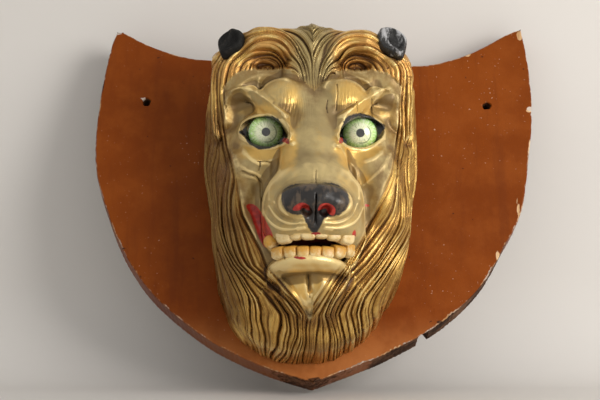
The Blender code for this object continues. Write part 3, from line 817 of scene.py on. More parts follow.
def carving_finish():
    """Bronze paint on the face, gold on the hair, black and red where the marks say, with painted shade and
    grime in the hollows and painted highlights on the crests.
    """
    f = Finish("gilded_carving")
    hair = f.mark("hair")
    proud = f.mark("proud")
    swell = f.mark("swell")
    leaf = f.mark("leaf")
    cloud = f.noise(38.0, 4.0)
    fine = f.noise(420.0, 3.0)
    blotch = f.noise(95.0, 4.0, 0.65)
    comb = f.times(f.mark("strand"), f.blend(f.mark("close"), 3.2, 1.3))
    combed_at = f.add("ShaderNodeCombineXYZ", {0: comb, 1: f.times(f.mark("along"), 0.04), 2: 0.0})
    combed = f.noise(1.0, 3.0, 0.6, combed_at)

    khaki = f.mix(f.step(cloud, 0.35, 0.65), (0.36, 0.27, 0.115), (0.50, 0.38, 0.165))
    khaki = f.mix(f.times(f.step(blotch, 0.52, 0.75), 0.5), khaki, (0.24, 0.175, 0.075))
    shine = f.step(f.plus(leaf, f.swing(blotch, 1.1)), 0.15, 1.0)
    face = f.mix(shine, khaki, (0.74, 0.47, 0.13))
    # Painted highlight: the face's convex crests lighter gold, also as gilding rubbed bright, kept off the
    # rim by the throat.
    highlit_crests = f.times(f.step(proud, 0.08, 0.40, 0.0, 0.9), f.less(1.0, f.mark("rim")))
    face = f.mix(highlit_crests, face, (0.88, 0.68, 0.31))
    # Painted shade: the face's hollows darkened brown, everywhere but round the muzzle.
    painted_hollow_shade = f.times(f.step(swell, -0.05, -0.95, 0.0, 0.70), f.mark("hollow_shade_reach"))
    face = f.mix(painted_hollow_shade, face, (0.155, 0.092, 0.034))
    # Brown glaze with painted shade, by the hairline and in the furrows.
    glaze_and_shade = f.times(f.mark("edge"), f.step(blotch, 0.3, 0.6, 0.15, 0.75))
    face = f.mix(glaze_and_shade, face, (0.17, 0.092, 0.030))

    # Hair tones follow each strand's crest and the swell of its lock: dark brown glaze in the grooves with
    # painted shade between the locks.
    crest = f.plus(proud, f.swing(combed, 1.5))
    swell = f.most(f.reckon("MINIMUM", swell, 1.0), -2.0)
    crest = f.plus(crest, f.times(swell, 0.22))
    gold = f.mix(f.step(cloud, 0.4, 0.62), (0.40, 0.215, 0.045), (0.70, 0.44, 0.115))
    strands = f.mix(f.step(crest, -1.10, -0.10), (0.105, 0.046, 0.012), (0.27, 0.130, 0.028))
    strands = f.mix(f.step(crest, -0.35, 0.45), strands, gold)
    # Painted highlight: the highest crests pale gold, also as gilding rubbed bright.
    strands = f.mix(f.step(crest, 0.35, 1.05, 0.0, 0.7), strands, (0.88, 0.66, 0.27))
    # Painted shade with worn gilding: the left side of the mane darker brown.
    strands = f.mix(f.times(f.mark("rubbed"), 0.75), strands, (0.13, 0.056, 0.012))
    grey = f.mix(f.step(crest, -0.75, 0.10), (0.13, 0.075, 0.032), khaki)
    strands = f.mix(f.mark("parting"), strands, grey)
    brown = f.mix(f.step(crest, -0.8, 0.2), (0.10, 0.038, 0.010), (0.50, 0.245, 0.062))
    redder = f.times(f.mark("copper"), f.step(blotch, 0.38, 0.58))
    strands = f.mix(f.times(redder, 0.8), strands, brown)
    colour = f.mix(hair, face, strands)
    # Painted shade with grime: the hollows of the carving darkened towards near black, and their metal
    # sheen taken out.
    hollow = f.plus(proud, f.times(swell, f.blend(hair, 0.16, 0.12)))
    shade_and_grime = f.step(hollow, -1.5, -0.30, 0.64, 1.0)
    shade_and_grime = f.blend(hair, f.blend(0.25, shade_and_grime, 1.0), shade_and_grime)
    colour = f.mix(f.less(1.0, shade_and_grime), colour, (0.045, 0.022, 0.009))
    # Inside the mouth gap: red paint darkened towards black, as painted shade in the recess.
    throat = f.mix(f.step(blotch, 0.4, 0.6), (0.040, 0.008, 0.005), (0.10, 0.014, 0.009))
    colour = f.mix(f.mark("mouth"), colour, throat)

    jag = f.swing(fine, 1.6)
    crack = f.step(f.plus(f.mark("crack"), jag), 0.05, 0.60, 0.85, 0.0)
    colour = f.mix(crack, colour, (0.030, 0.016, 0.008))
    jag = f.swing(blotch, 2.6)
    red = f.step(f.plus(f.mark("red"), jag), -0.35, 0.35)
    feather = f.swing(f.noise(300.0, 3.0, 0.6, f.place((1.0, 1.0, 0.4))), 3.0)
    black = f.step(f.plus(f.mark("black"), jag, feather), -1.0, 0.6)
    worn = f.noise(240.0, 4.0, 0.7, f.place((1.0, 1.0, 0.22)))
    rubbed = f.times(f.step(f.times(worn, f.step(cloud, 0.30, 0.6)), 0.36, 0.56), 0.45)
    pad = f.mix(rubbed, (0.015, 0.0125, 0.0115), (0.17, 0.115, 0.070))
    colour = f.mix(black, colour, pad)
    scarlet = f.mix(f.step(blotch, 0.4, 0.65), (0.52, 0.035, 0.018), (0.26, 0.012, 0.010))
    colour = f.mix(red, colour, scarlet)

    paint = f.most(red, black, f.mark("mouth"))
    rough = f.blend(hair, f.blend(shine, 0.46, 0.38), f.step(combed, 0.35, 0.65, 0.24, 0.38))
    rough = f.blend(shade_and_grime, 0.7, rough)
    rough = f.plus(f.blend(paint, rough, 0.32), f.swing(blotch, 0.22))
    metal = f.blend(hair, f.blend(shine, 0.30, 0.62), 0.70)
    metal = f.times(f.times(metal, shade_and_grime), f.less(1.0, paint))
    grain = f.noise(260.0, 3.0, 0.6, f.place((1.0, 1.0, 0.16)))
    smooth_bump = f.plus(f.times(grain, 0.5), f.times(fine, 0.35))
    bump = f.blend(hair, smooth_bump, f.plus(f.times(combed, 1.4), f.times(fine, 0.25)))
    return f.wear(colour, rough, metal, bump, 0.55, 0.0010)


def tooth_finish():
    """Cream enamel stained orange on top."""
    f = Finish("painted_teeth", IOR=1.45)
    stain = f.plus(f.mark("stain"), f.swing(f.noise(330.0, 3.0), 0.9))
    cream = f.mix(f.step(f.noise(150.0), 0.4, 0.65), (0.74, 0.57, 0.29), (0.62, 0.42, 0.16))
    colour = f.mix(f.step(stain, 0.40, 0.85), cream, (0.60, 0.31, 0.05))
    colour = f.mix(f.step(f.noise(520.0, 2.0), 0.68, 0.78, 0.0, 0.7), colour, (0.20, 0.09, 0.03))
    rough = f.step(f.noise(240.0), 0.3, 0.7, 0.24, 0.42)
    return f.wear(colour, rough, None, f.noise(420.0, 4.0), 0.35, 0.0006)


def ear_finish(gloss_and_glints):
    """Black paint: glossy with painted silvery glints along the rubbed rims on the right ear, dull on the
    left.
    """
    name = "black_ear_right" if gloss_and_glints else "black_ear_left"
    f = Finish(name, Specular_IOR_Level=0.6 if gloss_and_glints else 0.15)
    streaks = f.noise(110.0, 5.0, 0.75, f.place((1.0, 1.0, 0.35)))
    # Pale streaks on the right ear are painted glints of light on the gloss, over rubbed paint.
    worn = f.plus(f.mark("wear_and_glint"), f.swing(streaks, 2.6))
    worn = f.step(worn, 0.42, 0.75) if gloss_and_glints else f.step(worn, 0.62, 0.95)
    under = (0.42, 0.42, 0.43) if gloss_and_glints else (0.035, 0.03, 0.024)
    colour = f.mix(worn, (0.009, 0.0085, 0.008), under)
    rough = f.step(f.noise(180.0), 0.3, 0.7, 0.16 if gloss_and_glints else 0.45, 0.6)
    return f.wear(colour, rough, None, f.noise(300.0, 4.0, 0.65), 0.8, 0.0016)


def glass_finish():
    """Painted iris under polished glass."""
    f = Finish("green_glass_eye", Roughness=0.12, Coat_Weight=1.0, Coat_Roughness=0.03,
               Specular_IOR_Level=0.6)
    own = f.add("ShaderNodeUVMap", {}, uv_map="iris")
    x = f.part(own, 0)
    y = f.part(own, 1)
    size = f.add("ShaderNodeVectorMath", {0: own}, out=1, operation="LENGTH")
    angle = f.reckon("ARCTAN2", y, x)
    spoke_at = f.add("ShaderNodeCombineXYZ", {0: f.times(f.reckon("SINE", angle), 4.2),
                                              1: f.times(f.reckon("COSINE", angle), 4.2),
                                              2: f.times(size, 1.2)})
    spokes = f.noise(2.6, 3.0, 0.7, spoke_at)
    reach = f.plus(size, f.swing(spokes, 0.75))
    green = f.mix(f.step(reach, 0.74, 1.05), (0.56, 0.84, 0.28), (0.22, 0.50, 0.10))
    colour = f.mix(f.step(reach, 0.44, 0.70), (0.88, 0.93, 0.62), green)
    colour = f.mix(f.step(spokes, 0.54, 0.60, 0.0, 0.75), colour, (0.90, 0.93, 0.74))
    colour = f.mix(f.step(spokes, 0.46, 0.40, 0.0, 0.6), colour, (0.20, 0.33, 0.10))
    # Painted shadow: a dark crescent on the right of the iris stands for the shade of the glass's edge
    # inside the eye.
    away = f.add("ShaderNodeVectorMath", {0: own, 1: (0.06, -0.03, 0)}, out=1, operation="DISTANCE")
    crescent = f.reckon("ABSOLUTE", f.less(away, 0.47))
    facing_right = f.step(f.less(x, f.times(y, 0.5)), 0.05, 0.3)
    shade = f.times(f.step(crescent, 0.015, 0.05, 0.75, 0.0), facing_right)
    colour = f.mix(shade, colour, (0.16, 0.24, 0.10))
    colour = f.mix(f.step(size, 0.185, 0.225, 1.0, 0.0), colour, (0.035, 0.035, 0.033))
    return f.wear(f.mix(f.step(size, 1.0, 1.08), colour, (0.03, 0.05, 0.02)))


def board_finish():
    """Rust-brown paint over a plank, chipped to bare wood along its edges."""
    f = Finish("rust_brown_paint", Specular_IOR_Level=0.08)
    cloud = f.noise(9.0, 4.0, 0.6)
    blotch = f.noise(34.0, 5.0, 0.62)
    fine = f.noise(300.0, 4.0, 0.6)
    brush = f.noise(60.0, 4.0, 0.6, f.place((1.0, 1.0, 0.12), (0, 0.25, 0)))
    paint = f.mix(f.step(cloud, 0.35, 0.65), (0.185, 0.038, 0.0036), (0.235, 0.052, 0.0052))
    paint = f.mix(f.step(blotch, 0.42, 0.68, 0.0, 0.5), paint, (0.27, 0.065, 0.0075))
    paint = f.mix(f.step(brush, 0.5, 0.7, 0.0, 0.35), paint, (0.13, 0.027, 0.005))
    # Painted light: the lower end of the board paler, as lit from the floor below.
    low = f.step(f.part(f.place(), 2), -0.22, -0.275)
    painted_low_light = f.times(low, f.step(blotch, 0.25, 0.60, 0.45, 0.90))
    paint = f.mix(painted_low_light, paint, (0.42, 0.150, 0.042))
    specks = f.times(f.step(f.noise(380.0, 2.0, 0.5), 0.71, 0.74), f.step(cloud, 0.40, 0.60))
    dots = f.step(f.noise(150.0, 2.0, 0.5, f.place((1, 1, 1), (0.7, 0.2, 0.4))), 0.74, 0.765)
    paint = f.mix(f.times(specks, 0.8), paint, (0.62, 0.42, 0.30))
    paint = f.mix(f.times(dots, 0.8), paint, (0.05, 0.016, 0.008))
    grain = f.noise(46.0, 5.0, 0.65, f.place((1.0, 1.0, 0.09)))
    wood = f.mix(f.step(grain, 0.4, 0.66), (0.035, 0.016, 0.009), (0.15, 0.075, 0.04))
    raw = f.mix(f.step(grain, 0.38, 0.6), (0.48, 0.26, 0.11), (0.70, 0.47, 0.26))
    grey = f.mix(f.step(fine, 0.4, 0.6), (0.26, 0.20, 0.16), (0.62, 0.54, 0.46))
    jag = f.swing(f.noise(220.0, 5.0, 0.7), 3.0)
    long_jag = f.swing(f.noise(28.0, 3.0, 0.6), 3.0)
    side = f.mark("side")
    bare_side = f.plus(f.mark("bare"), f.times(jag, 0.22), f.times(long_jag, 0.10))
    bare_side = f.times(side, f.step(bare_side, 0.42, 0.58))
    colour = f.mix(f.times(side, 0.45), paint, (0.10, 0.028, 0.010))
    colour = f.mix(bare_side, colour, wood)
    rim = f.step(f.plus(f.mark("rim"), jag, long_jag), -0.5, 0.2, 1.0, 0.0)
    colour = f.mix(f.times(rim, 0.85), colour, f.mix(f.step(blotch, 0.45, 0.6), raw, grey))
    chip, pale, dark = [f.step(f.plus(f.mark(name), f.times(jag, 0.35)), -width, width)
                        for name, width in (("chip", 0.2), ("pale", 0.2), ("dark", 0.3))]
    colour = f.mix(chip, colour, raw)
    colour = f.mix(pale, colour, (0.60, 0.50, 0.42))
    colour = f.mix(f.times(dark, 0.85), colour, (0.035, 0.016, 0.010))
    bare = f.most(chip, pale, bare_side)
    rough = f.blend(bare, f.step(blotch, 0.3, 0.7, 0.30, 0.46), 0.78)
    height = f.plus(f.times(fine, 0.25), f.times(blotch, 0.5), f.times(brush, 0.35))
    height = f.less(height, f.times(f.most(chip, rim), 0.7))
    return f.wear(colour, rough, None, height, 0.45, 0.0012)


# Backboard

LEFT_CORNER = (-0.2087, 0.0803)
LEFT_FLAT_END = (-0.2022, 0.0803)
RIGHT_CORNER = (0.2150, 0.0903)
BOTTOM_POINT = (-0.0057, -0.2947)
TOP_EDGE = (
    (-0.1727, 0.0643), (-0.1407, 0.0533), (-0.1100, 0.0490), (-0.0030, 0.0445),
    (0.1033, 0.0455), (0.1444, 0.0543), (0.1714, 0.0663), (0.1994, 0.0833),
)
RIGHT_EDGE = (
    (0.2204, 0.0463), (0.2214, -0.0067), (0.2153, -0.0577), (0.2043, -0.1167),
    (0.1843, -0.1557), (0.1634, -0.1917), (0.1294, -0.2267), (0.0960, -0.2490),
    (0.0593, -0.2685), (0.0093, -0.2887),
)
LEFT_EDGE = (
    (-0.0536, -0.2787), (-0.1046, -0.2537), (-0.1576, -0.2107), (-0.1907, -0.1647),
    (-0.2127, -0.1117), (-0.2227, -0.0757), (-0.2247, -0.0377), (-0.2217, 0.0093),
    (-0.2147, 0.0583),
)
HOLE_SPACING = 0.3494
# Radius and Y of the rings of a screw hole, front to back, in millimetres
HOLE_ROWS = ((4.9, -32.0), (4.2, -31.2), (4.0, -29.5), (4.0, -1.0), (4.4, 0.0))
NOTCH_AT = (0.1030, -0.2460)
NOTCH_WIDTH = 0.0125
NOTCH_DEPTH = 0.0135
# Direction of the edge at the gap
NOTCH_RUN = (0.862, 0.507)
# Share of the paint that is gone from the back
BARE_BACK = 0.60
# Spacing of the outline's knots and thickness of the board, in millimetres
EDGE_STEP = 1.2
BOARD_DEPTH = 32.0

# Hollows worn into the edge: X, Z and reach in metres, then depth in millimetres
EDGE_HOLLOWS = (
    (0.2170, -0.0060, 0.006, 1.6), (0.2110, 0.0830, 0.006, 0.8), (0.1720, -0.1800, 0.006, 1.2),
    (0.0730, -0.2620, 0.012, 1.3), (0.0420, -0.2760, 0.010, 1.0), (-0.0060, -0.2940, 0.008, 1.2),
    (0.1300, -0.2260, 0.007, 1.6), (-0.0800, -0.2660, 0.007, 0.9), (-0.2060, 0.0800, 0.004, 0.9),
    (0.1180, -0.2340, 0.006, 1.4), (-0.1960, -0.1560, 0.006, 0.6), (0.2180, -0.0500, 0.010, 0.7),
)
# Rows of the edge, back to front: inset from the outline and depth behind the front face, in
# millimetres, then how much of a side it is and how far from the rim it lies
BOARD_ROWS = (
    (1.4, 32.0, 1, 6), (0.5, 31.6, 1, 6), (0.0, 30.6, 1, 6), (0.1, 26.0, 1, 6), (0.3, 21.0, 1, 6),
    (0.1, 16.0, 1, 6), (0.3, 11.0, 1, 6), (0.1, 6.0, 1, 5), (0.0, 2.2, 1, 1.6), (0.35, 0.7, 0.6, 0.1),
    (1.1, 0.0, 0, 0.1), (2.2, 0.0, 0, 1.3), (4.0, 0.0, 0, 3), (7.0, 0.0, 0, 6), (11.0, 0.0, 0, 9),
)
# Flaked and stained places near the edges: X, Z and the two half sizes, in millimetres
BOARD_SPOTS = {
    "chip": ((213, 82, 3, 6), (157, 60, 4, 3.5), (218, -5, 3, 2), (217, -50, 1.5, 12),
             (201, -112, 1.5, 10), (178, -164, 2, 5)),
    "pale": ((219, -3, 3, 2.5), (-206, 78, 3, 1.5), (-177.5, 3, 1.6, 2.4)),
    "dark": ((-4, -291, 6, 2.5), (118, -233, 3, 1.5), (-220, 20, 1, 10), (-192, -160, 3, 1)),
}


def curve_through(before, points, after):
    """Closely spaced places on a smooth curve through the given ones."""
    way = [np.array(q) for q in (before, *points, after)]
    way = [2 * way[0] - way[1]] + way + [2 * way[-1] - way[-2]]
    out = []
    for i in range(1, len(way) - 2):
        a, b, c, d = way[i - 1:i + 3]
        steps = max(2, round(np.linalg.norm(c - b) / (EDGE_STEP * MM * COARSER)))
        for k in range(steps):
            t = k / steps
            out.append(0.5 * (2 * b + (c - a) * t + (2 * a - 5 * b + 4 * c - d) * t * t
                              + (3 * b - a - 3 * c + d) * t**3))
    return out


def board_ring():
    """Outline of the shield, its inward direction and the distance to the nearest corner, in metres."""
    top = curve_through(LEFT_FLAT_END, TOP_EDGE, RIGHT_CORNER)
    right = curve_through(RIGHT_CORNER, RIGHT_EDGE, BOTTOM_POINT)
    left = curve_through(BOTTOM_POINT, LEFT_EDGE, LEFT_CORNER)
    flat = [np.array(LEFT_CORNER) * (1 - k / 4) + np.array(LEFT_FLAT_END) * k / 4 for k in range(4)]
    ring = np.array(top + right + left + flat)
    side = np.roll(ring, -1, 0) - np.roll(ring, 1, 0)
    side /= np.linalg.norm(side, axis=1)[:, None]
    inward = np.stack([side[:, 1], -side[:, 0]], 1)
    corner = np.min([np.linalg.norm(ring - np.array(c), axis=1)
                     for c in (LEFT_CORNER, LEFT_FLAT_END, RIGHT_CORNER, BOTTOM_POINT)], 0)
    return ring, inward, corner


def rough_edge(ring, run):
    """Small hollows worn into the edge, in metres, at each place of the outline."""
    wave = 0.30 * np.sin(run / 7.3) * np.sin(run / 31) + 0.22 * np.sin(run / 3.1 + 2 * np.sin(run / 17))
    depth = np.maximum(wave, 0)
    for x, z, reach, amount in EDGE_HOLLOWS:
        d = np.hypot(ring[:, 0] - x, ring[:, 1] - z) / reach
        depth = depth + amount * np.exp(-d * d) * (0.7 + 0.3 * np.sin(run * 1.3))
    return depth * MM


def notch_share(ring):
    """1 along the splintered gap in the lower right edge, 0 elsewhere."""
    right, up = (ring - NOTCH_AT).T
    along = right * NOTCH_RUN[0] + up * NOTCH_RUN[1]
    across = np.abs(up * NOTCH_RUN[0] - right * NOTCH_RUN[1])
    return ((np.abs(along) < NOTCH_WIDTH / 2) & (across < 0.03)).astype(float)


def build_backboard(finish):
    """Shield plank with a worn arris, a splintered gap, saw marks and two screw holes."""
    ring, inward, corner = board_ring()
    count = len(ring)
    run = np.arange(count) * EDGE_STEP * COARSER
    worn = rough_edge(ring, run)
    gap = notch_share(ring)
    bm = bmesh.new()
    marks = {k: bm.verts.layers.float.new(k) for k in ("side", "rim", "bare")}
    loops = []
    for inset, depth, side, rim in BOARD_ROWS:
        front = 1 - depth / BOARD_DEPTH
        saw = 0.00022 * np.sin(run * 1.7 + depth * 0.9) + 0.00018 * np.sin(run * 0.61 - depth * 0.5)
        shift = np.minimum(inset * MM, 0.0003 + 0.42 * corner) + np.where(depth > 1, np.abs(saw), 0)
        shift = shift + worn * (0.35 + 0.65 * front) * soft(9, 1, inset)
        bite = NOTCH_DEPTH * (depth / BOARD_DEPTH) * (0.9 + 0.1 * np.sin(run * 2.1 + depth))
        shift = shift + gap * bite * side
        line = ring + inward * shift[:, None]
        loop = []
        for i in range(count):
            w = bm.verts.new((line[i, 0], depth * MM - BOARD_THICKNESS, line[i, 1]))
            w[marks["side"]] = side
            w[marks["rim"]] = rim + worn[i] * -500 * (rim < 3)
            w[marks["bare"]] = BARE_BACK if depth == BOARD_DEPTH else bare_share(ring[i], gap[i])
            loop.append(w)
        loops.append(loop)
    for low, high in zip(loops, loops[1:]):
        for i in range(count):
            j = (i + 1) % count
            bm.faces.new((low[i], low[j], high[j], high[i]))
    front_rims = []
    back_rims = []
    for way in (-1, 1):
        rings = []
        for radius, y in HOLE_ROWS:
            made = bmesh.ops.create_circle(bm, cap_ends=False, segments=48, radius=radius * MM)["verts"]
            frayed = radius > 4.1 and y < -10
            for w in made:
                turn = math.atan2(w.co.y, w.co.x)
                wide = 1 + (0.10 * math.sin(2 * turn + way) + 0.06 * math.sin(5 * turn)) * frayed
                w.co = Vector((way * HOLE_SPACING / 2 + w.co.x * wide, y * MM, w.co.y * wide))
                w[marks["rim"]] = 0.4 if y < -31 else 3
                w[marks["side"]] = 0 if y < -31 else 1
                w[marks["bare"]] = BARE_BACK
            rings.append(list({e for w in made for e in w.link_edges}))
        for a, b in zip(rings, rings[1:]):
            bmesh.ops.bridge_loops(bm, edges=a + b)
        front_rims += rings[0]
        back_rims += rings[-1]
    for loop, rims in ((loops[-1], front_rims), (loops[0], back_rims)):
        outer = [e for e in {e for w in loop for e in w.link_edges} if e.is_boundary]
        bmesh.ops.triangle_fill(bm, use_beauty=True, edges=outer + rims)
    face_outwards(bm)
    board = piece_from(bm, "painted_backboard", finish)
    board.data.set_sharp_from_angle(angle=math.radians(35))
    board_marks(board.data)
    return board


def bare_share(q, gap):
    """How much of the paint is gone from the side of the board at a place."""
    lower_right = soft(0.02, 0.07, q[0]) * soft(-0.12, -0.17, q[1])
    bottom = soft(-0.262, -0.285, q[1])
    return float(max(gap, 0.78 * lower_right, 0.5 * bottom, 0.30))


def board_marks(mesh):
    """Chips, pale scars and dark spots, as depth inside their outlines on the front, in millimetres."""
    co = np.zeros(len(mesh.vertices) * 3)
    mesh.vertices.foreach_get("co", co)
    co = co.reshape(-1, 3) * 1000
    for key, places in BOARD_SPOTS.items():
        best = np.full(len(co), -9.0)
        for x, z, rx, rz in places:
            away = np.hypot((co[:, 0] - x) / rx, (co[:, 2] - z) / rz)
            best = np.maximum(best, (1 - away) * min(rx, rz))
        set_mark(mesh, key, best - np.maximum(0, co[:, 1] + 29.5))


# Eyes, teeth and ears

# Where the flat back of an eye lies behind its centre, and the stump of a tooth, in millimetres
EYE_BACK = 4
STUMP_PLACE = (-38.8, 140, -201.0)
STUMP_RADIUS = 6.4


def build_eye(name, side, finish):
    """Glass eye: a full round front on a flat back, with the iris laid out round its pupil."""
    bm = bmesh.new()
    bmesh.ops.create_uvsphere(bm, u_segments=80, v_segments=52, radius=EYE_RADIUS * MM)
    bmesh.ops.rotate(bm, verts=bm.verts, matrix=Matrix.Rotation(math.radians(90), 3, "X"))
    everything = bm.verts[:] + bm.edges[:] + bm.faces[:]
    bmesh.ops.bisect_plane(bm, geom=everything, plane_co=(0, EYE_BACK * MM, 0), plane_no=(0, 1, 0),
                           clear_outer=True)
    bmesh.ops.edgenet_fill(bm, edges=[e for e in bm.edges if e.is_boundary])
    layer = bm.loops.layers.uv.new("iris")
    # The pupil lies where the looking line through it meets the glass
    dip = math.radians(20)
    look = Vector((0.02 - side * 0.02, -math.cos(dip), -math.sin(dip))).normalized()
    across = Vector((0, 0, 1)).cross(look).normalized()
    rise = look.cross(across).normalized()
    for face in bm.faces:
        for loop in face.loops:
            q = loop.vert.co / (EYE_RADIUS * MM)
            k = 1.0 / max(0.25, 0.5 + 0.5 * q.dot(look))
            loop[layer].uv = (q.dot(across) * k * 0.92, q.dot(rise) * k * 0.92)
    x, h, z = EYE_CENTRE
    bmesh.ops.translate(bm, verts=bm.verts, vec=in_plaque(side * x, h, z))
    face_outwards(bm)
    eye = piece_from(bm, name, finish)
    eye.data.set_sharp_from_angle(angle=math.radians(50))
    return eye


def add_tooth(bm, stain, row, slope):
    """One rounded block, turned to follow the jaw. A lower tooth slopes on top and is narrower at
    its root; an upper one is wider there."""
    x, h, z, wide, deep, tall, turn = row
    cs, sn = math.cos(turn), math.sin(turn)
    bulge = 0.27 if slope else 0.40
    for w in bmesh.ops.create_uvsphere(bm, u_segments=28, v_segments=18, radius=1.0)["verts"]:
        a, b, c = [math.copysign(abs(v)**bulge, v) for v in w.co]
        size = max(abs(a)**4 + abs(b)**4 + abs(c)**4, 1e-6)**0.25
        a, b, c = [v / size * 0.5 for v in (a, b, c)]
        narrow = 1 - 0.12 * (0.5 - c) if slope else 1 + 0.18 * (0.5 + c)
        c = c - slope * (b + 0.5) * max(0, c + 0.1)
        px = a * wide * narrow + 0.25 * math.sin(c * 9 + x)
        py = b * deep * narrow
        w[stain] = 0.5 + c + (0.35 if slope else -0.6)
        w.co = in_plaque(x + px * cs - py * sn, h + px * sn + py * cs, z + c * tall)


# X, H, Z, width, depth, height, and turn of each tooth
UPPER_TEETH = (
    (-26.5, 152.5, -199.6, 14.0, 9, 15.0, 0.50), (-16.2, 158.0, -199.4, 10.6, 8, 12.5, 0.30),
    (-6.0, 160.8, -200.0, 12.8, 8, 12.5, 0.08), (5.2, 160.6, -199.0, 11.4, 8, 12.0, -0.10),
    (16.2, 157.6, -199.6, 12.6, 8, 12.4, -0.30), (28.0, 150.8, -198.8, 13.4, 9, 16.0, -0.62),
)
LOWER_TEETH = (
    (-31.0, 140.5, -210.6, 14.2, 12, 14.5, 0.70), (-20.6, 146.5, -211.9, 13.0, 12, 14.5, 0.35),
    (-9.9, 150.0, -213.2, 12.0, 12, 15.0, 0.12), (0.4, 150.2, -213.4, 11.6, 12, 15.0, -0.05),
    (10.8, 147.8, -212.4, 12.8, 12, 14.6, -0.28), (21.2, 142.6, -209.5, 13.4, 12, 15.0, -0.52),
    (30.0, 135.0, -204.5, 12.6, 12, 17.0, -0.80),
)


def build_teeth(name, table, slope, finish):
    """One row of teeth. The lower one ends in a round stump at the left."""
    bm = bmesh.new()
    stain = bm.verts.layers.float.new("stain")
    for row in table:
        add_tooth(bm, stain, row, slope)
    if slope:
        x, h, z = STUMP_PLACE
        for w in bmesh.ops.create_uvsphere(bm, u_segments=32, v_segments=24, radius=STUMP_RADIUS)["verts"]:
            w[stain] = 1.0 + w.co.z / 14 - w.co.x / 30
            w.co = in_plaque(x + w.co.x, h + w.co.y, z + w.co.z * 0.98)
    face_outwards(bm)
    return piece_from(bm, name, finish)


def build_ear(name, centre, size, lean, outward, cup, finish):
    """Small cupped ear with a rolled rim, its foot sunk in the hair."""
    bm = bmesh.new()
    wear_and_glint = bm.verts.layers.float.new("wear_and_glint")
    bmesh.ops.create_uvsphere(bm, u_segments=72, v_segments=48, radius=1.0)
    bmesh.ops.rotate(bm, verts=bm.verts, matrix=Matrix.Rotation(math.radians(90), 3, "X"))
    turn = Matrix.Rotation(outward, 3, "Z") @ Matrix.Rotation(lean, 3, "Y") @ Matrix.Rotation(-0.25, 3, "X")
    for w in bm.verts:
        q = w.co.copy()
        radius = math.hypot(q.x, q.z)
        front = max(0.0, -q.y)
        hollow = cup * math.exp(-(radius / 0.62)**4) * (front > 0)
        fold = 0.16 * math.exp(-((q.x + 0.28) / 0.16)**2) * (front > 0) * (radius < 0.95)
        edge = math.exp(-((radius - 0.84) / 0.12)**2) * (front > 0.1)
        # This mark is higher on the ear's right side, where the light falls: it paints glints as well as
        # wear.
        w[wear_and_glint] = 0.30 + 0.40 * edge * (0.5 + 0.5 * q.x) + 1.6 * fold
        pointed = 1 - 0.15 * max(0.0, q.z)**2 - 0.60 * max(0.0, -q.z)**1.3
        q = Vector((q.x * pointed, q.y + hollow - fold, q.z))
        q = turn @ Vector((q.x * size[0], q.y * size[1], q.z * size[2]))
        w.co = in_plaque(centre[0] + q.x, centre[1] - q.y, centre[2] + q.z)
    face_outwards(bm)
    return piece_from(bm, name, finish)


# The picture: sweep, lamps and camera

# The camera looks at this place from this far, in metres, with a lens in millimetres
CAMERA_AIM = (-0.01765, -0.032, -0.1067)
CAMERA_DISTANCE = 1.5
LENS = 90
# The lamps are turned to this place
LAMP_AIM = (0, -0.08, -0.12)


def camera_axes():
    """Directions to the right, up and ahead, as the camera sees them."""
    rise, turn = LOOK_RISE, LOOK_TURN
    ahead = Vector((math.sin(turn) * math.cos(rise), math.cos(turn) * math.cos(rise), math.sin(rise)))
    right = Vector((math.cos(turn), -math.sin(turn), 0))
    return right, right.cross(ahead), ahead


def place_camera():
    """Camera of the photo, a little below the plaque."""
    right, up, ahead = camera_axes()
    data = bpy.data.cameras.new("camera")
    data.lens = LENS
    data.sensor_width = 36
    obj = in_scene("camera", data)
    turn = Matrix((right, up, -ahead)).transposed().to_4x4()
    obj.matrix_world = Matrix.Translation(Vector(CAMERA_AIM) - ahead * CAMERA_DISTANCE) @ turn
    bpy.context.scene.camera = obj


def build_sweep():
    """Pale paper behind the plaque that curves forward under its point, seen from in front only."""
    right, up, ahead = camera_axes()
    far, low, round_off = 0.0415, -0.2755, 0.11
    path = [(far, 1.6), (far, 0.8), (far, low + round_off)]
    for k in range(1, 13):
        a = math.radians(90 * k / 12)
        path.append((far - round_off * (1 - math.cos(a)), low + round_off * (1 - math.sin(a))))
    path += [(-0.6, low), (-1.4, low), (-3.0, low)]
    bm = bmesh.new()
    line = [bm.verts.new(ahead * a + up * b - right * 2.5) for a, b in path]
    edges = [bm.edges.new(pair) for pair in zip(line, line[1:])]
    grown = bmesh.ops.extrude_edge_only(bm, edges=edges)["geom"]
    bmesh.ops.translate(bm, verts=[g for g in grown if isinstance(g, bmesh.types.BMVert)], vec=right * 5)
    bm.normal_update()
    if sum(g.normal.dot(ahead) for g in bm.faces) > 0:
        bmesh.ops.reverse_faces(bm, faces=bm.faces)
    f = Finish("pale_paper", Roughness=0.9)
    f.wear(f.mix(f.noise(3.0, 2.0), (0.655, 0.630, 0.600), (0.715, 0.690, 0.660)))
    clear = f.add("ShaderNodeBsdfTransparent", {})
    behind = f.add("ShaderNodeNewGeometry", {}, out=6)
    both = f.add("ShaderNodeMixShader", {0: behind, 1: f.shader.outputs[0], 2: clear})
    f.tree.links.new(both, f.tree.nodes["Material Output"].inputs[0])
    return piece_from(bm, "paper_sweep", f.material)


def lamp(name, at, size, power, colour):
    """Round lamp that is turned to the plaque."""
    data = bpy.data.lights.new(name, "AREA")
    data.shape = "DISK"
    data.size = size
    data.energy = power
    data.color = colour
    obj = in_scene(name, data)
    obj.location = at
    obj.rotation_euler = (Vector(LAMP_AIM) - at).to_track_quat("-Z", "Y").to_euler()


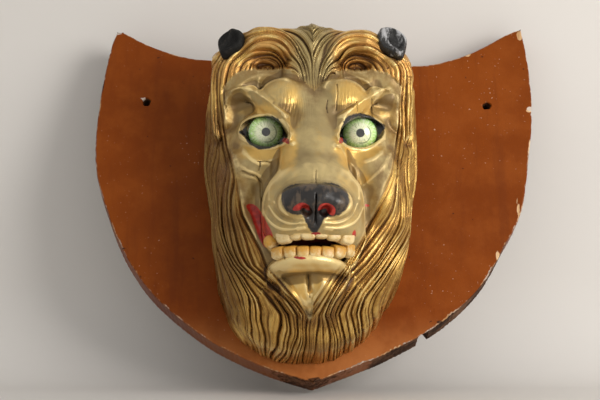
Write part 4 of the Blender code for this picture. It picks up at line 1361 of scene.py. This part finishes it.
def place_lamps():
    """A wide key lamp from the upper right, a weak fill from below, and a pale room."""
    right, up, ahead = camera_axes()
    middle = Vector(LAMP_AIM)
    key = middle + (right * 1.08 + up * 0.42 - ahead * 1.06) * 1.5
    lamp("key_lamp", key, 1.35, 37, (1.0, 0.965, 0.92))
    fill = middle + right * 0.10 - up * 1.05 - ahead * 1.35
    lamp("fill_lamp", fill, 0.9, 14.0, (1.0, 0.99, 0.97))
    world = bpy.data.worlds.new("studio")
    bpy.context.scene.world = world
    world.use_nodes = True
    background = world.node_tree.nodes["Background"]
    background.inputs["Color"].default_value = (0.75, 0.74, 0.72, 1)
    background.inputs["Strength"].default_value = 0.84
    bpy.context.scene.view_settings.view_transform = "Standard"


# Putting it together


def own(obj, slot, *nodes):
    """Sets a piece on the one body and hides the CAD node that it stands for; the slot is not used."""
    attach(obj, "root")
    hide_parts(*nodes)


def main():
    """Every piece, then the sweep, the camera and the lamps."""
    gilding = carving_finish()
    knots, directions, cores, marks = carve_head()
    net = (within_block(knots), turned(directions), within_block(cores), marks)
    low = BEARD_ROWS + FACE_ROWS
    left, middle, right = 0, SIDE_COLUMNS, SIDE_COLUMNS + FACE_COLUMNS
    spans = (
        ("mane_left", 0, low, left, SIDE_COLUMNS),
        ("beard", 0, BEARD_ROWS, middle, FACE_COLUMNS),
        ("face", BEARD_ROWS, FACE_ROWS, middle, FACE_COLUMNS),
        ("mane_right", 0, low, right, SIDE_COLUMNS),
        ("crown_left", low, CROWN_ROWS, left, SIDE_COLUMNS),
        ("crown", low, CROWN_ROWS, middle, FACE_COLUMNS),
        ("crown_right", low, CROWN_ROWS, right, SIDE_COLUMNS),
    )
    blocks = [carved_block(name, net, *span, gilding) for name, *span in spans]
    enamel = tooth_finish()
    blocks += (
        build_teeth("upper_teeth", UPPER_TEETH, 0.0, enamel),
        build_teeth("lower_teeth", LOWER_TEETH, 0.5, enamel),
        build_ear("ear_left", (-78, 110, 11.5), (14, 11, 17), 0.38, -0.45, 0.60, ear_finish(False)),
        build_ear("ear_right", (77, 112, 13.5), (15, 11, 20), -0.42, 0.15, 0.80, ear_finish(True)),
    )
    for block in blocks:
        own(block, "gilded_carving", "lion_head")
    glass = glass_finish()
    own(build_eye("eye_left", -1, glass), "eye_glass", "glass_eye_left")
    own(build_eye("eye_right", 1, glass), "eye_glass", "glass_eye_right")
    own(build_backboard(board_finish()), "board_paint", "backboard")
    build_sweep()
    place_camera()
    place_lamps()


main()
